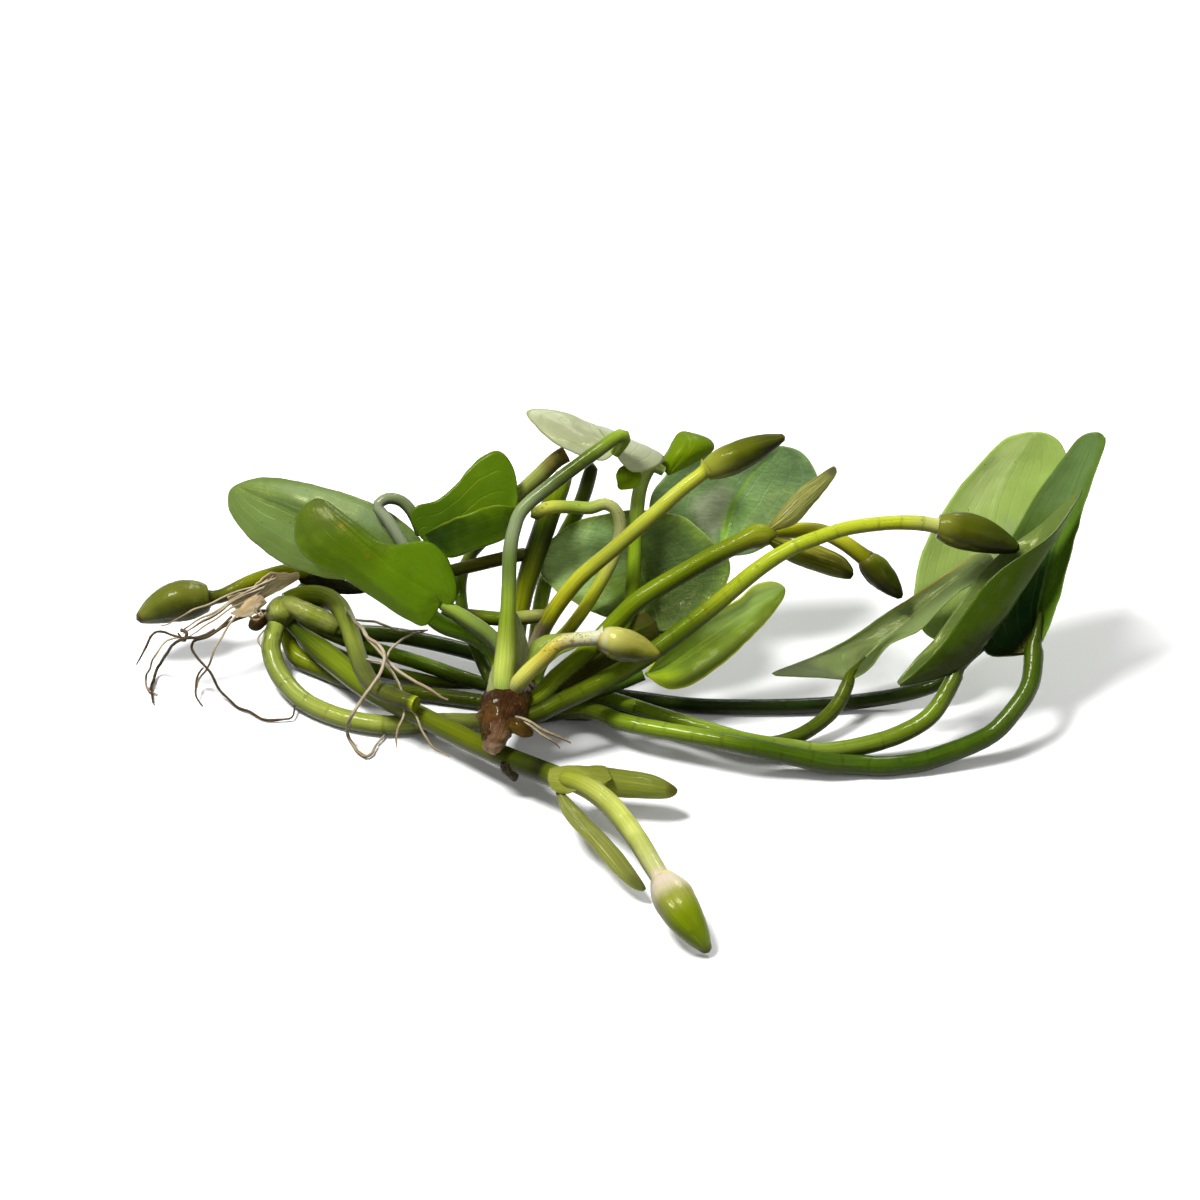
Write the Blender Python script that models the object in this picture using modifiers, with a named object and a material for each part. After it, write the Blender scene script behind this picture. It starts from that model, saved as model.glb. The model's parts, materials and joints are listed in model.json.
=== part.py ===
"""A water poppy plant, lifted out of the water with bare roots and laid on a table.

The plant is laid out as it is seen from one viewpoint, in front of it and 36 degrees above the table.
A place is given on a sighting grid that faces that viewpoint: x counts to the right and y counts down,
one step is 0.3 mm at the plant, and (620, 775) is the point of the table that the layout starts from.
A third number says how far behind the grid the point lies, or how high above the table, in millimetres.
"""

import math

import bmesh
import bpy
from mathutils import Vector

PLANT = "water_poppy_plant"
MM = 0.001

# The sighting grid
GRID_STEP = 0.3 * MM
GRID_MIDDLE = 600
TABLE_MARK_X = 620
TABLE_MARK_Y = 775
VIEW_TILT = math.radians(36)
EYE_DISTANCE = 1.2
PLANT_MIDDLE = Vector((-0.00205, 0.00045, 0.0))

# Thicknesses and fineness
GAP = 0.3 * MM
LEAF_THICKNESS = 1.3 * MM
BRACT_THICKNESS = 1.1 * MM
STEM_SPACING = 9.4 * MM
ROOT_SPACING = 6 * MM
LEAF_ROWS = 8
LEAF_COLUMNS = 3
SAMPLES_PER_SPAN = 12

# Colours (linear) and roughness of what the plant is made of
LIME = (0.25, 0.45, 0.04)
GREEN = (0.12, 0.30, 0.03)
DARK_GREEN = (0.03, 0.11, 0.015)
OLIVE = (0.17, 0.21, 0.02)
YELLOW_GREEN = (0.42, 0.46, 0.06)
GREY_GREEN = (0.16, 0.27, 0.14)
PALE_GREEN = (0.42, 0.50, 0.22)
TAN = (0.52, 0.36, 0.18)
BROWN = (0.13, 0.05, 0.02)
WET = 0.25
WAXY = 0.45
DRY = 0.75

ACROSS = Vector((1, 0, 0))
UP = Vector((0, math.sin(VIEW_TILT), math.cos(VIEW_TILT)))
TOWARDS_EYE = Vector((0, -math.cos(VIEW_TILT), math.sin(VIEW_TILT)))
GRID_CENTRE = (
    ACROSS * (GRID_MIDDLE - TABLE_MARK_X) * GRID_STEP
    + UP * (TABLE_MARK_Y - GRID_MIDDLE) * GRID_STEP
)
EYE = GRID_CENTRE + TOWARDS_EYE * EYE_DISTANCE


def sight_line(x, y):
    """Returns the vector from the eye to grid place (x, y)."""
    across = ACROSS * (x - GRID_MIDDLE) * GRID_STEP
    up = UP * (GRID_MIDDLE - y) * GRID_STEP
    return GRID_CENTRE + across + up - EYE


def deep(places):
    """Turns (x, y, millimetres behind the grid) into points."""
    points = []
    for x, y, behind in places:
        stretch = 1 + behind * MM / EYE_DISTANCE
        points.append(EYE + sight_line(x, y) * stretch - PLANT_MIDDLE)
    return points


def lying(places):
    """Turns (x, y, millimetres above the table) into points."""
    points = []
    for x, y, height in places:
        line = sight_line(x, y)
        stretch = (height * MM - EYE.z) / line.z
        points.append(EYE + line * stretch - PLANT_MIDDLE)
    return points


def smooth(values, count):
    """Returns count points evenly spaced along a smooth curve through the values."""
    fine = []
    for i in range(len(values) - 1):
        before = values[max(i - 1, 0)]
        start, end = values[i], values[i + 1]
        after = values[min(i + 2, len(values) - 1)]
        for k in range(SAMPLES_PER_SPAN):
            t = k / SAMPLES_PER_SPAN
            fine.append(
                start
                + (end - before) * (0.5 * t)
                + (before - start * 2.5 + end * 2 - after * 0.5) * t**2
                + (start * 1.5 - before * 0.5 - end * 1.5 + after * 0.5) * t**3
            )
    fine.append(values[-1])
    travelled = [0.0]
    for a, b in zip(fine, fine[1:]):
        travelled.append(travelled[-1] + (b.xyz - a.xyz).length)
    spaced = []
    k = 0
    for i in range(count):
        target = travelled[-1] * i / (count - 1)
        while k < len(fine) - 2 and travelled[k + 1] < target:
            k += 1
        step = travelled[k + 1] - travelled[k]
        share = (target - travelled[k]) / step if step else 0.0
        spaced.append(fine[k].lerp(fine[k + 1], min(max(share, 0.0), 1.0)))
    return spaced


def run_length(points):
    return sum((b - a).length for a, b in zip(points, points[1:]))


def finish(piece, colour, roughness):
    """Gives the piece its own material."""
    material = bpy.data.materials.new(piece.name)
    material.use_nodes = True
    shader = material.node_tree.nodes["Principled BSDF"]
    shader.inputs["Base Color"].default_value = (*colour, 1)
    shader.inputs["Roughness"].default_value = roughness
    shader.inputs["Metallic"].default_value = 0.0
    piece.data.materials.append(material)


def stem(name, route, radii, colour, roughness=WET, spacing=STEM_SPACING, sides=2):
    """A round stem along the route; radii, in millimetres, are given point by point or once."""
    if not isinstance(radii, list):
        radii = [radii] * len(route)
    line = [Vector((*point, radius)) for point, radius in zip(route, radii)]
    count = max(5, round(run_length(route) / spacing) + 1)
    curve = bpy.data.curves.new(name, "CURVE")
    curve.dimensions = "3D"
    curve.bevel_depth = MM
    curve.bevel_resolution = sides
    curve.use_fill_caps = True
    spline = curve.splines.new("POLY")
    spline.use_smooth = True
    spline.points.add(count - 1)
    for point, place in zip(spline.points, smooth(line, count)):
        point.co = (*place.xyz, 1)
        point.radius = place.w
    piece = bpy.data.objects.new(name, curve)
    plant.objects.link(piece)
    finish(piece, colour, roughness)
    return piece


def bud(name, base, middle, tip, radius, colour):
    """A closed flower bud: a spindle that is fullest near its base and runs out to a blunt point."""
    route = smooth([base, middle, tip], len(BUD_PROFILE))
    radii = [radius * share for share in BUD_PROFILE]
    return stem(name, route, radii, colour, WAXY, spacing=run_length(route) / 10)


BUD_PROFILE = [0.62, 0.86, 0.98, 1.0, 0.95, 0.85, 0.7, 0.5, 0.24]


def blade(name, left, middle, right, colour, roughness=WAXY, fold=0.0,
          thickness=LEAF_THICKNESS, rows=LEAF_ROWS):
    """A leaf or bract from its base to its tip, through its two margins and its midrib.

    All three lines start at the base and end at the tip. A fold of 0 gives a round trough and
    1 gives two flat halves that meet in a crease along the midrib.
    """
    left = smooth(left, rows + 1)
    middle = smooth(middle, rows + 1)
    right = smooth(right, rows + 1)
    surface = bmesh.new()
    base = surface.verts.new(middle[0])
    tip = surface.verts.new(middle[-1])
    grid = []
    for a, centre, b in zip(left[1:-1], middle[1:-1], right[1:-1]):
        level = (b - a).normalized()
        row = []
        for column in range(-LEAF_COLUMNS, LEAF_COLUMNS + 1):
            share = abs(column) / LEAF_COLUMNS
            reach = (b if column > 0 else a) - centre
            along = level * (1 if column > 0 else -1) * reach.length
            slope = along.lerp(reach, fold)
            place = centre + slope * share + (reach - slope) * share**2
            row.append(surface.verts.new(place))
        grid.append(row)
    for i in range(2 * LEAF_COLUMNS):
        surface.faces.new((base, grid[0][i], grid[0][i + 1]))
        surface.faces.new((tip, grid[-1][i + 1], grid[-1][i]))
        for near, far in zip(grid, grid[1:]):
            surface.faces.new((near[i], far[i], far[i + 1], near[i + 1]))
    mesh = bpy.data.meshes.new(name)
    surface.to_mesh(mesh)
    surface.free()
    mesh.shade_smooth()
    piece = bpy.data.objects.new(name, mesh)
    plant.objects.link(piece)
    shell = piece.modifiers.new("thickness", "SOLIDIFY")
    shell.thickness = thickness
    shell.offset = 0
    finish(piece, colour, roughness)
    return piece


def as_mesh(piece):
    """Turns a curve object into a mesh object with welded caps, for Booleans."""
    depsgraph = bpy.context.evaluated_depsgraph_get()
    mesh = bpy.data.meshes.new_from_object(piece.evaluated_get(depsgraph))
    welded = bmesh.new()
    welded.from_mesh(mesh)
    bmesh.ops.remove_doubles(welded, verts=welded.verts, dist=0.01 * MM)
    bmesh.ops.recalc_face_normals(welded, faces=welded.faces)
    welded.to_mesh(mesh)
    welded.free()
    name = piece.name
    curve = piece.data
    bpy.data.objects.remove(piece)
    bpy.data.curves.remove(curve)
    solid = bpy.data.objects.new(name, mesh)
    plant.objects.link(solid)
    return solid


def cutter_of(piece):
    """Returns a copy of the piece that is larger by the gap all round, to cut its neighbours with."""
    copy = piece.copy()
    copy.data = piece.data.copy()
    copy.name = "space of " + piece.name
    plant.objects.link(copy)
    cutter = as_mesh(copy)
    plant.objects.unlink(cutter)
    cutters.objects.link(cutter)
    cutter.hide_render = True
    cutter.display_type = "WIRE"
    swell = cutter.modifiers.new("gap", "DISPLACE")
    swell.strength = GAP
    swell.mid_level = 0
    return cutter


def trim(piece, cutter):
    """Cuts away what of the piece lies inside the cutter."""
    if piece.type == "CURVE":
        piece = as_mesh(piece)
    cut = piece.modifiers.new("trim", "BOOLEAN")
    cut.operation = "DIFFERENCE"
    cut.solver = "EXACT"
    cut.object = cutter
    return piece


def fuse(pieces):
    """Joins several solids that pass into each other into the first one."""
    first, *others = [as_mesh(piece) for piece in pieces]
    for other in others:
        plant.objects.unlink(other)
        cutters.objects.link(other)
        other.hide_render = True
        other.display_type = "WIRE"
        union = first.modifiers.new("join " + other.name, "BOOLEAN")
        union.operation = "UNION"
        union.solver = "EXACT"
        union.object = other
    return first


def new_collection(name):
    collection = bpy.data.collections.new(name)
    bpy.context.scene.collection.children.link(collection)
    return collection


for old in list(bpy.data.objects):
    bpy.data.objects.remove(old)
plant = new_collection(PLANT)
cutters = new_collection("cutters and joined strands")


# The left crown, where the four long petioles and the runner begin
def left_crown():
    crown = stem(
        "left_crown",
        lying([(281, 595.5, 21), (282, 612, 17), (285, 627, 13.5)]),
        [4.0, 5.4, 4.4],
        PALE_GREEN,
    )
    cutter = cutter_of(crown)
    trim(
        stem(
            "root_stub",
            lying([(272, 612, 16), (256, 623, 13), (249, 629, 11)]),
            [1.6, 3.2, 1.2],
            BROWN,
            DRY,
        ),
        cutter,
    )
    return cutter


def left_flower_shoot(crown):
    trim(
        stem(
            "left_bud_stalk",
            deep([
                (283, 606, 46.5), (289, 601, 49), (299, 594, 50), (309, 583, 48.5), (307, 573.5, 46.5),
                (293, 570.5, 44.5), (277, 573, 42.8), (252, 581, 41), (232, 591, 39.8),
                (222, 595.8, 39.3), (211.6, 597.9, 38.8),
            ]),
            [1.8, 1.9, 2.0, 2.0, 2.0, 2.0, 2.0, 2.0, 2.0, 2.0, 2.1],
            OLIVE,
        ),
        crown,
    )
    bud("left_bud", *deep([(208.5, 598, 38.5), (174, 602.5, 37), (138, 619, 35)]), 6.3, OLIVE)
    blade(
        "dry_sheath",
        deep([(300, 573, 33), (270, 574, 32), (247, 590, 31), (226, 598, 30)]),
        deep([(300, 576, 36), (272, 582, 35), (250, 597, 33), (232, 606, 32)]),
        deep([(300, 579, 37), (284, 588, 36), (258, 602, 35), (238, 612, 34)]),
        TAN,
        DRY,
        thickness=BRACT_THICKNESS,
        rows=5,
    )


# The long petioles and the runner, which leave the left crown and cross under the centre
def long_petioles(crown):
    trim(
        stem(
            "petiole_low",
            lying([
                (279, 618, 15), (272.5, 637, 13), (271.5, 652, 10), (280, 675, 6.5), (300, 698, 4),
                (325, 712, 3.2), (355, 721, 3.2), (390, 725, 3.2), (440, 722, 3.2), (480, 722, 3.2),
                (530, 716, 4.4), (584, 710, 8), (630, 724, 10), (706, 738, 11), (746, 746, 10.5),
                (798, 757, 7), (827, 763, 5), (860, 765, 3.4), (881, 766, 3.1), (905, 764, 3.1),
            ])
            + deep([(934, 758, 0), (988, 736, 1), (1015, 709, 2), (1030, 684, 4), (1033.8, 654.4, 7.8)]),
            [
                2.8, 3.0, 3.1, 3.1, 3.0, 3.0, 3.0, 3.0, 2.8, 2.8, 2.8, 2.7, 2.7, 2.7, 2.8, 3.0, 3.1, 3.1,
                3.1, 3.1, 3.1, 3.0, 2.9, 2.9, 3.0,
            ],
            GREEN,
        ),
        crown,
    )
    trim(
        stem(
            "petiole_rear",
            lying([
                (284, 603, 20), (304, 612, 19), (340, 630, 15), (400, 636, 11), (477, 654, 6.5),
                (504, 670, 4.6), (540, 688, 3), (580, 697, 2.7), (619, 697, 2.7), (701, 706, 2.5),
                (800, 706, 2.5), (870, 700, 3.5), (920, 690, 6), (946, 677, 10),
            ])
            + deep([(961.8, 650.8, 22.1)]),
            [2.4, 2.7, 2.5, 2.5, 2.5, 2.4, 2.4, 2.4, 2.5, 2.4, 2.4, 2.4, 2.3, 2.2, 2.0],
            DARK_GREEN,
        ),
        crown,
    )
    trim(
        stem(
            "petiole_upper",
            lying([
                (284, 614, 15), (305, 623, 11.8), (330, 633, 9.6), (361, 645, 8), (420, 663, 6),
                (480, 683, 5), (530, 692, 4), (575, 695, 7.3), (612, 700, 9), (660, 715, 10),
                (700, 727, 10), (746, 740, 8.6), (790, 747, 5.8),
            ])
            + deep([(827, 751, 1.5), (870, 744, 2), (907, 731, 2), (934, 712, 2), (953.7, 679, 3.6)]),
            [1.6, 1.9, 2.3, 2.3, 2.3, 2.3, 2.3, 2.4, 2.4, 2.4, 2.4, 2.4, 2.5, 2.7, 2.8, 2.8, 2.7, 2.5],
            GREEN,
        ),
        crown,
    )
    trim(
        stem(
            "petiole_inner",
            lying([
                (284, 622, 11), (288, 640, 7.5), (298, 657, 4), (322, 669, 3), (357, 684, 2.9),
                (390, 691, 2.6), (424, 694, 2.5), (483, 702, 2.5), (540, 711, 2.5), (580, 713, 2.5),
                (620, 712, 2.5), (660, 720, 2.5), (700, 730, 2.5), (746, 744, 2.5), (775, 743, 3),
                (800, 735, 4.5), (822, 721, 6.5), (838, 704, 9.5),
            ])
            + deep([(848, 682.6, 14.5)]),
            [
                1.6, 2.3, 2.9, 2.9, 2.7, 2.5, 2.4, 2.4, 2.3, 2.3, 2.3, 2.3, 2.3, 2.3, 2.3, 2.3, 2.3, 2.3,
                2.0,
            ],
            OLIVE,
        ),
        crown,
    )
    trim(
        stem(
            "spare_shoot",
            lying([
                (293, 629, 11), (307, 638, 7.5), (340, 655, 4.5), (366, 667, 3), (430, 681, 2.3),
                (476, 688, 1.8),
            ]),
            [1.2, 1.5, 1.9, 2.0, 1.8, 0.4],
            GREEN,
            sides=1,
        ),
        crown,
    )
    runner = stem(
        "runner",
        lying([
            (288, 622, 14), (301, 634, 12.5), (314, 645, 11.5), (330, 658, 10.5), (367, 688, 9.6),
            (400, 706, 10.4), (420, 716, 10.5), (460, 736, 10.5), (500, 755, 11.5), (548, 774, 13),
            (563, 780, 13.6),
        ]),
        [1.8, 2.4, 3.4, 3.8, 3.4, 3.2, 3.2, 3.3, 3.3, 3.4, 3.3],
        YELLOW_GREEN,
    )
    runner_end = cutter_of(runner)
    trim(runner, crown)
    trim(
        stem(
            "cut_stem",
            deep([
                (285, 602, 41), (300, 598, 42), (316, 597, 41), (330, 600, 38.5), (341, 609, 32.8),
                (348, 625, 26.8), (354, 643, 22.5), (362, 667, 15.5), (375, 687, 8.7), (397, 698, 2.8),
                (416, 704.5, -0.3),
            ]),
            [3.0, 3.7, 3.7, 3.3, 2.9, 2.8, 2.8, 2.8, 2.8, 2.7, 2.5],
            GREY_GREEN,
        ),
        crown,
    )
    return runner_end


# The front shoot at the end of the runner: two bracts, a stalk and a bud that touches the table
def front_shoot(runner):
    trim(
        blade(
            "front_bract_upper",
            deep([(563, 773, -23), (590, 767, -19), (630, 771, -19), (660, 778, -20), (677, 790, -22)]),
            deep([(563, 775, -23), (600, 780, -24), (635, 785, -25), (660, 789, -25), (677, 790, -22)]),
            deep([(563, 777, -23), (590, 794, -22), (640, 798, -23), (668, 798, -23), (677, 790, -22)]),
            OLIVE,
            thickness=BRACT_THICKNESS,
            rows=6,
        ),
        runner,
    )
    trim(
        blade(
            "front_bract_lower",
            deep([
                (560, 788, -25), (573, 803, -33), (592, 822, -38), (614, 844, -43), (631, 865, -47),
                (646, 889, -51),
            ]),
            deep([
                (558, 789, -25), (568, 808, -36), (585, 829, -41), (604, 851, -46), (624, 874, -50),
                (646, 889, -51),
            ]),
            deep([
                (555, 790, -25), (563, 813, -35), (577, 831, -40), (595, 850, -44), (617, 875, -49),
                (634, 889, -51), (646, 889, -51),
            ]),
            GREY_GREEN,
            thickness=BRACT_THICKNESS,
            rows=6,
        ),
        runner,
    )
    trim(
        stem(
            "front_bud_stalk",
            deep([
                (560, 779, -27), (579, 784, -31), (598, 794.5, -35), (615, 810, -39), (637, 839, -46),
                (651, 862, -52.5), (661, 878.3, -57.7),
            ]),
            [2.8, 3.0, 3.2, 3.2, 3.1, 3.0, 3.0],
            LIME,
        ),
        runner,
    )
    bud("front_bud", *deep([(662, 879.6, -58), (685, 917, -68)]), *lying([(708, 951, 1.6)]), 5.8, GREEN)


# The centre crown: a wet brown stub of rhizome that lies over the runner and runs back under the stems
def centre_crown():
    crown = stem(
        "center_crown",
        deep([
            (489, 747, -19), (494, 733, -15), (502, 712, -8), (508, 702, -1), (517, 697, 7),
            (527, 692, 13.5), (531, 690, 18.5),
        ]),
        [1.4, 4.2, 7.2, 7.0, 6.0, 4.3, 4.2],
        BROWN,
    )
    return cutter_of(crown)


# The petioles and flower stalks that stand up out of the centre crown
def centre_stems(crown):
    trim(
        stem(
            "petiole_tall",
            deep([
                (503, 700, -7), (503, 683, -8), (506, 650, -8), (508, 610, -9), (509, 580, -8),
                (510, 552, -8), (514, 530, -7), (524, 508, -6), (558, 480, -5), (596, 452, -4),
                (618, 436, -3), (625, 439, -1), (616.6, 451, 1.8),
            ]),
            [3.4, 3.4, 3.2, 2.4, 2.2, 2.2, 2.1, 2.1, 2.1, 2.1, 2.0, 1.8, 1.6],
            LIME,
        ),
        crown,
    )
    trim(
        stem(
            "yellow_stalk",
            deep([
                (510, 706, -12), (521, 688, -13), (543, 658, -12), (563, 642, -12), (597.3, 638.1, -12),
            ]),
            [2.5, 2.5, 2.3, 2.2, 2.3],
            YELLOW_GREEN,
        ),
        crown,
    )
    bud("yellow_bud", *deep([(600, 639, -12), (632, 647, -13), (659, 656, -13)]), 4.9, YELLOW_GREEN)
    trim(
        blade(
            "pale_sheath",
            deep([(521, 688, -3), (528, 648, -1), (545, 636, -1), (575, 634, -1), (592, 640, -3)]),
            deep([(521, 689, -3), (536, 658, -4), (552, 646, -4), (572, 641, -4), (592, 640, -3)]),
            deep([(521, 690, -3), (545, 668, -3), (560, 655, -4), (575, 648, -4), (592, 640, -3)]),
            PALE_GREEN,
            thickness=BRACT_THICKNESS,
            rows=5,
        ),
        crown,
    )
    upper = stem(
        "upper_stalk",
        deep([
            (518, 694, 10), (526, 672, 12), (538, 640, 12), (553, 612, 9), (579, 579, 5), (617, 546, 3),
            (655, 513, 2), (681, 490, 2), (703.8, 472.4, 2),
        ]),
        [2.0, 2.2, 2.4, 2.5, 2.4, 2.3, 2.3, 2.2, 2.3],
        YELLOW_GREEN,
    )
    upper_space = cutter_of(upper)
    trim(upper, crown)
    bud("upper_bud", *deep([(706, 471, 2), (745, 453, 1), (784, 437, 0)]), 4.6, OLIVE)
    middle = stem(
        "middle_stalk",
        deep([
            (512, 712, 0), (537, 697, 3), (558, 676, 5), (589, 650, 5), (618, 620, 4), (645, 596, 3),
            (706, 560, 4), (744, 541, 4.5), (757, 536, 5), (768, 535, 5),
        ]),
        [2.2, 2.6, 2.8, 2.9, 2.9, 2.9, 2.9, 3.1, 3.9, 3.4],
        OLIVE,
    )
    middle_space = cutter_of(middle)
    trim(middle, crown)
    trim(
        stem(
            "long_stalk",
            deep([
                (506, 722, -6), (534, 715, -5), (560, 702, -4), (594, 686, -2), (645, 657, -1),
                (701, 616, -2), (757, 570, -4), (790, 549, -5), (820, 537, -5), (849, 528, -4),
                (887, 523, -3), (918, 523, -2), (936.8, 525.9, -1),
            ]),
            [2.4, 2.8, 2.9, 3.0, 2.9, 2.7, 2.5, 2.3, 2.2, 2.2, 2.2, 2.3, 2.4],
            LIME,
        ),
        crown,
    )
    bud("long_bud", *deep([(938, 526, -1), (978, 534, 0), (1018, 549, 0)]), 5.6, OLIVE)
    trim(
        stem(
            "arched_stem",
            deep([
                (529, 694, 12), (536, 682, 15), (541, 666, 19), (554, 645, 20), (570, 628, 17),
                (590, 600, 15), (612, 560, 14), (620, 532, 14), (617, 512, 14), (605, 504, 14),
                (590, 508, 14), (570, 507, 14), (548, 508, 12), (531, 517, 9),
            ]),
            [1.8, 1.8, 1.9, 2.0, 2.0, 2.0, 2.0, 2.0, 1.9, 1.9, 2.0, 2.0, 2.1, 1.7],
            LIME,
        ),
        crown,
    )
    trim(
        stem(
            "green_stem",
            deep([
                (524, 697, 12), (547, 691, 11.5), (580, 672, 13), (610, 645, 14), (628, 615, 14),
                (633, 580, 14), (635, 540, 14), (638, 500, 14), (643, 480, 14), (652, 467, 13),
                (663.5, 471.5, 13.6),
            ]),
            [1.8, 2.1, 2.2, 2.2, 2.2, 2.2, 2.2, 2.2, 2.1, 1.9, 1.5],
            LIME,
        ),
        crown,
    )
    wide = stem(
        "wide_petiole",
        deep([
            (521, 692, 14), (517, 676, 18.5), (515, 660, 20), (517, 640, 20), (521, 606, 20),
            (530, 570, 20), (545, 525, 20), (558, 490, 20), (566, 470, 20),
        ]),
        [1.8, 2.0, 2.3, 2.5, 2.9, 3.3, 3.5, 3.3, 2.6],
        OLIVE,
    )
    wide_space = cutter_of(wide)
    trim(wide, crown)
    trim(
        stem(
            "dark_stem",
            deep([
                (530, 693, 15), (533, 684, 19.5), (532, 672, 25), (538, 620, 31), (546, 580, 33),
                (560, 545, 33), (580, 505, 31), (590, 474, 29), (593, 463, 28),
            ]),
            [1.6, 1.7, 2.0, 2.3, 2.4, 2.4, 2.3, 2.2, 1.4],
            DARK_GREEN,
            sides=1,
        ),
        crown,
    )
    return upper_space, middle_space, wide_space


# The flowering joint at the end of the middle stalk: two bracts, a short stalk and a dark bud
def flowering_joint(joint):
    trim(
        blade(
            "tan_bract",
            deep([(765, 530, 4), (777, 515, 5), (795, 493, 6), (818, 476, 7), (836, 466, 8)]),
            deep([(767, 531, 4), (786, 517, 3), (805, 499, 4), (822, 484, 6), (836, 468, 8)]),
            deep([(769, 532, 4), (796, 523, 5), (811, 506, 6), (827, 488, 7), (837, 470, 8)]),
            TAN,
            DRY,
            thickness=BRACT_THICKNESS,
            rows=6,
        ),
        joint,
    )
    trim(
        blade(
            "olive_bract",
            deep([(766, 535, 4), (795, 541, 6), (820, 546, 6), (842, 556, 6), (853, 572, 6)]),
            deep([(766, 538, 4), (793, 551, 1), (815, 560, 1), (837, 568, 2), (853, 575, 6)]),
            deep([(766, 541, 4), (790, 561, 6), (815, 570, 6), (838, 577, 6), (852, 577, 6)]),
            OLIVE,
            thickness=BRACT_THICKNESS,
            rows=6,
        ),
        joint,
    )
    trim(
        stem(
            "dark_bud_stalk",
            deep([
                (762, 534, 7), (776, 532, 10), (790, 531, 12.5), (806, 530, 14), (823, 532, 14),
                (843, 542, 13), (862.6, 556, 12),
            ]),
            [2.0, 2.2, 2.4, 2.4, 2.4, 2.4, 2.6],
            OLIVE,
        ),
        joint,
    )
    bud("dark_bud", *deep([(864.5, 558, 12), (882, 576, 12), (901, 597, 12)]), 4.2, DARK_GREEN)


# The leaves on the left and at the top
def left_leaves(crown):
    blade(
        "leaf_front_left",
        deep([
            (441, 602, 2), (436, 613, 2), (425, 625.5, 2), (410, 621, 2.3), (391, 610, 3),
            (363, 591.5, 3.5), (344, 578.5, 4.5), (311, 561, 6), (297, 545, 8), (294, 528, 8),
            (300, 511, 8), (315, 499, 8),
        ]),
        deep([(441, 602, 2), (430, 592, 0), (400, 575, -1), (370, 550, 0), (340, 522, 3), (315, 499, 8)]),
        deep([
            (441, 602, 2), (449, 606, 2), (456, 598, 2), (455, 578, 3), (447, 557, 3), (434, 544, 3),
            (419, 541, 2.5), (400, 547, 2), (383, 543, 2.5), (366, 530, 4), (344, 514, 6),
            (328, 502, 7.5), (315, 499, 8),
        ]),
        GREEN,
    )
    trim(
        stem(
            "petiole_front_left",
            deep([
                (442.8, 604.2, 3.5), (470, 621, 3), (492, 637, 2), (504, 655, 2), (509, 676, 1),
                (510, 700, 0),
            ]),
            [1.9, 2.2, 2.2, 2.1, 2.0, 2.0],
            LIME,
        ),
        crown,
    )
    blade(
        "leaf_back_left",
        deep([
            (412, 566, 16), (380, 580, 18), (330, 578, 20), (289, 566, 22), (258, 546, 24),
            (233, 518, 26), (228, 497, 27), (236, 485, 27),
        ]),
        deep([
            (412, 566, 16), (385, 550, 14), (340, 530, 15), (290, 508, 19), (255, 495, 24), (236, 485, 27),
        ]),
        deep([
            (412, 566, 16), (424, 545, 16), (400, 520, 17), (381, 508, 17), (355, 497, 18),
            (304, 483, 22), (265, 477, 26), (236, 485, 27),
        ]),
        GREY_GREEN,
    )
    trim(
        stem(
            "petiole_back_left",
            deep([
                (414, 569, 16.4), (418.5, 582, 18), (424, 603, 16), (432, 617, 13.5), (445, 626, 12.5),
                (460, 631, 12.5), (477, 638, 13.5), (492, 653, 14), (501, 674, 12.6), (508, 694, 9.2),
            ]),
            [1.6, 2.0, 2.4, 2.6, 2.7, 2.7, 2.7, 2.4, 2.2, 2.0],
            DARK_GREEN,
        ),
        crown,
    )
    blade(
        "leaf_folded",
        deep([
            (421, 536, 9), (411, 519, 8), (416, 506, 8), (437, 500, 9), (458, 482, 10), (475, 462, 11),
            (489, 453, 11), (500, 451, 11), (512, 464, 11), (517, 485, 10), (517, 505, 9),
        ]),
        deep([(421, 536, 9), (446, 556, 7), (475, 548, 6), (503, 538, 7), (513, 524, 8), (517, 505, 9)]),
        deep([
            (421, 536, 9), (436, 527, 4.5), (452, 519, 2.5), (467, 514, 2), (482, 508, 2), (497, 505, 3),
            (509, 506, 6), (517, 505, 9),
        ]),
        GREEN,
        fold=0.6,
    )
    trim(
        stem(
            "petiole_hooked",
            deep([
                (515, 694, 6), (508, 672, 7.5), (487, 640, 8.5), (462, 620, 8.5), (438, 599, 8),
                (420, 575, 9), (405, 548, 11), (388, 521, 11.5), (378, 507, 12), (386, 499, 12.5),
                (399, 500, 13), (409, 508, 13), (416, 520, 11.8), (419.4, 531, 10.6),
            ]),
            [1.6, 1.6, 1.7, 1.8, 1.8, 1.8, 1.8, 1.8, 1.8, 1.8, 1.8, 1.8, 1.8, 1.5],
            GREY_GREEN,
        ),
        crown,
    )


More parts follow.
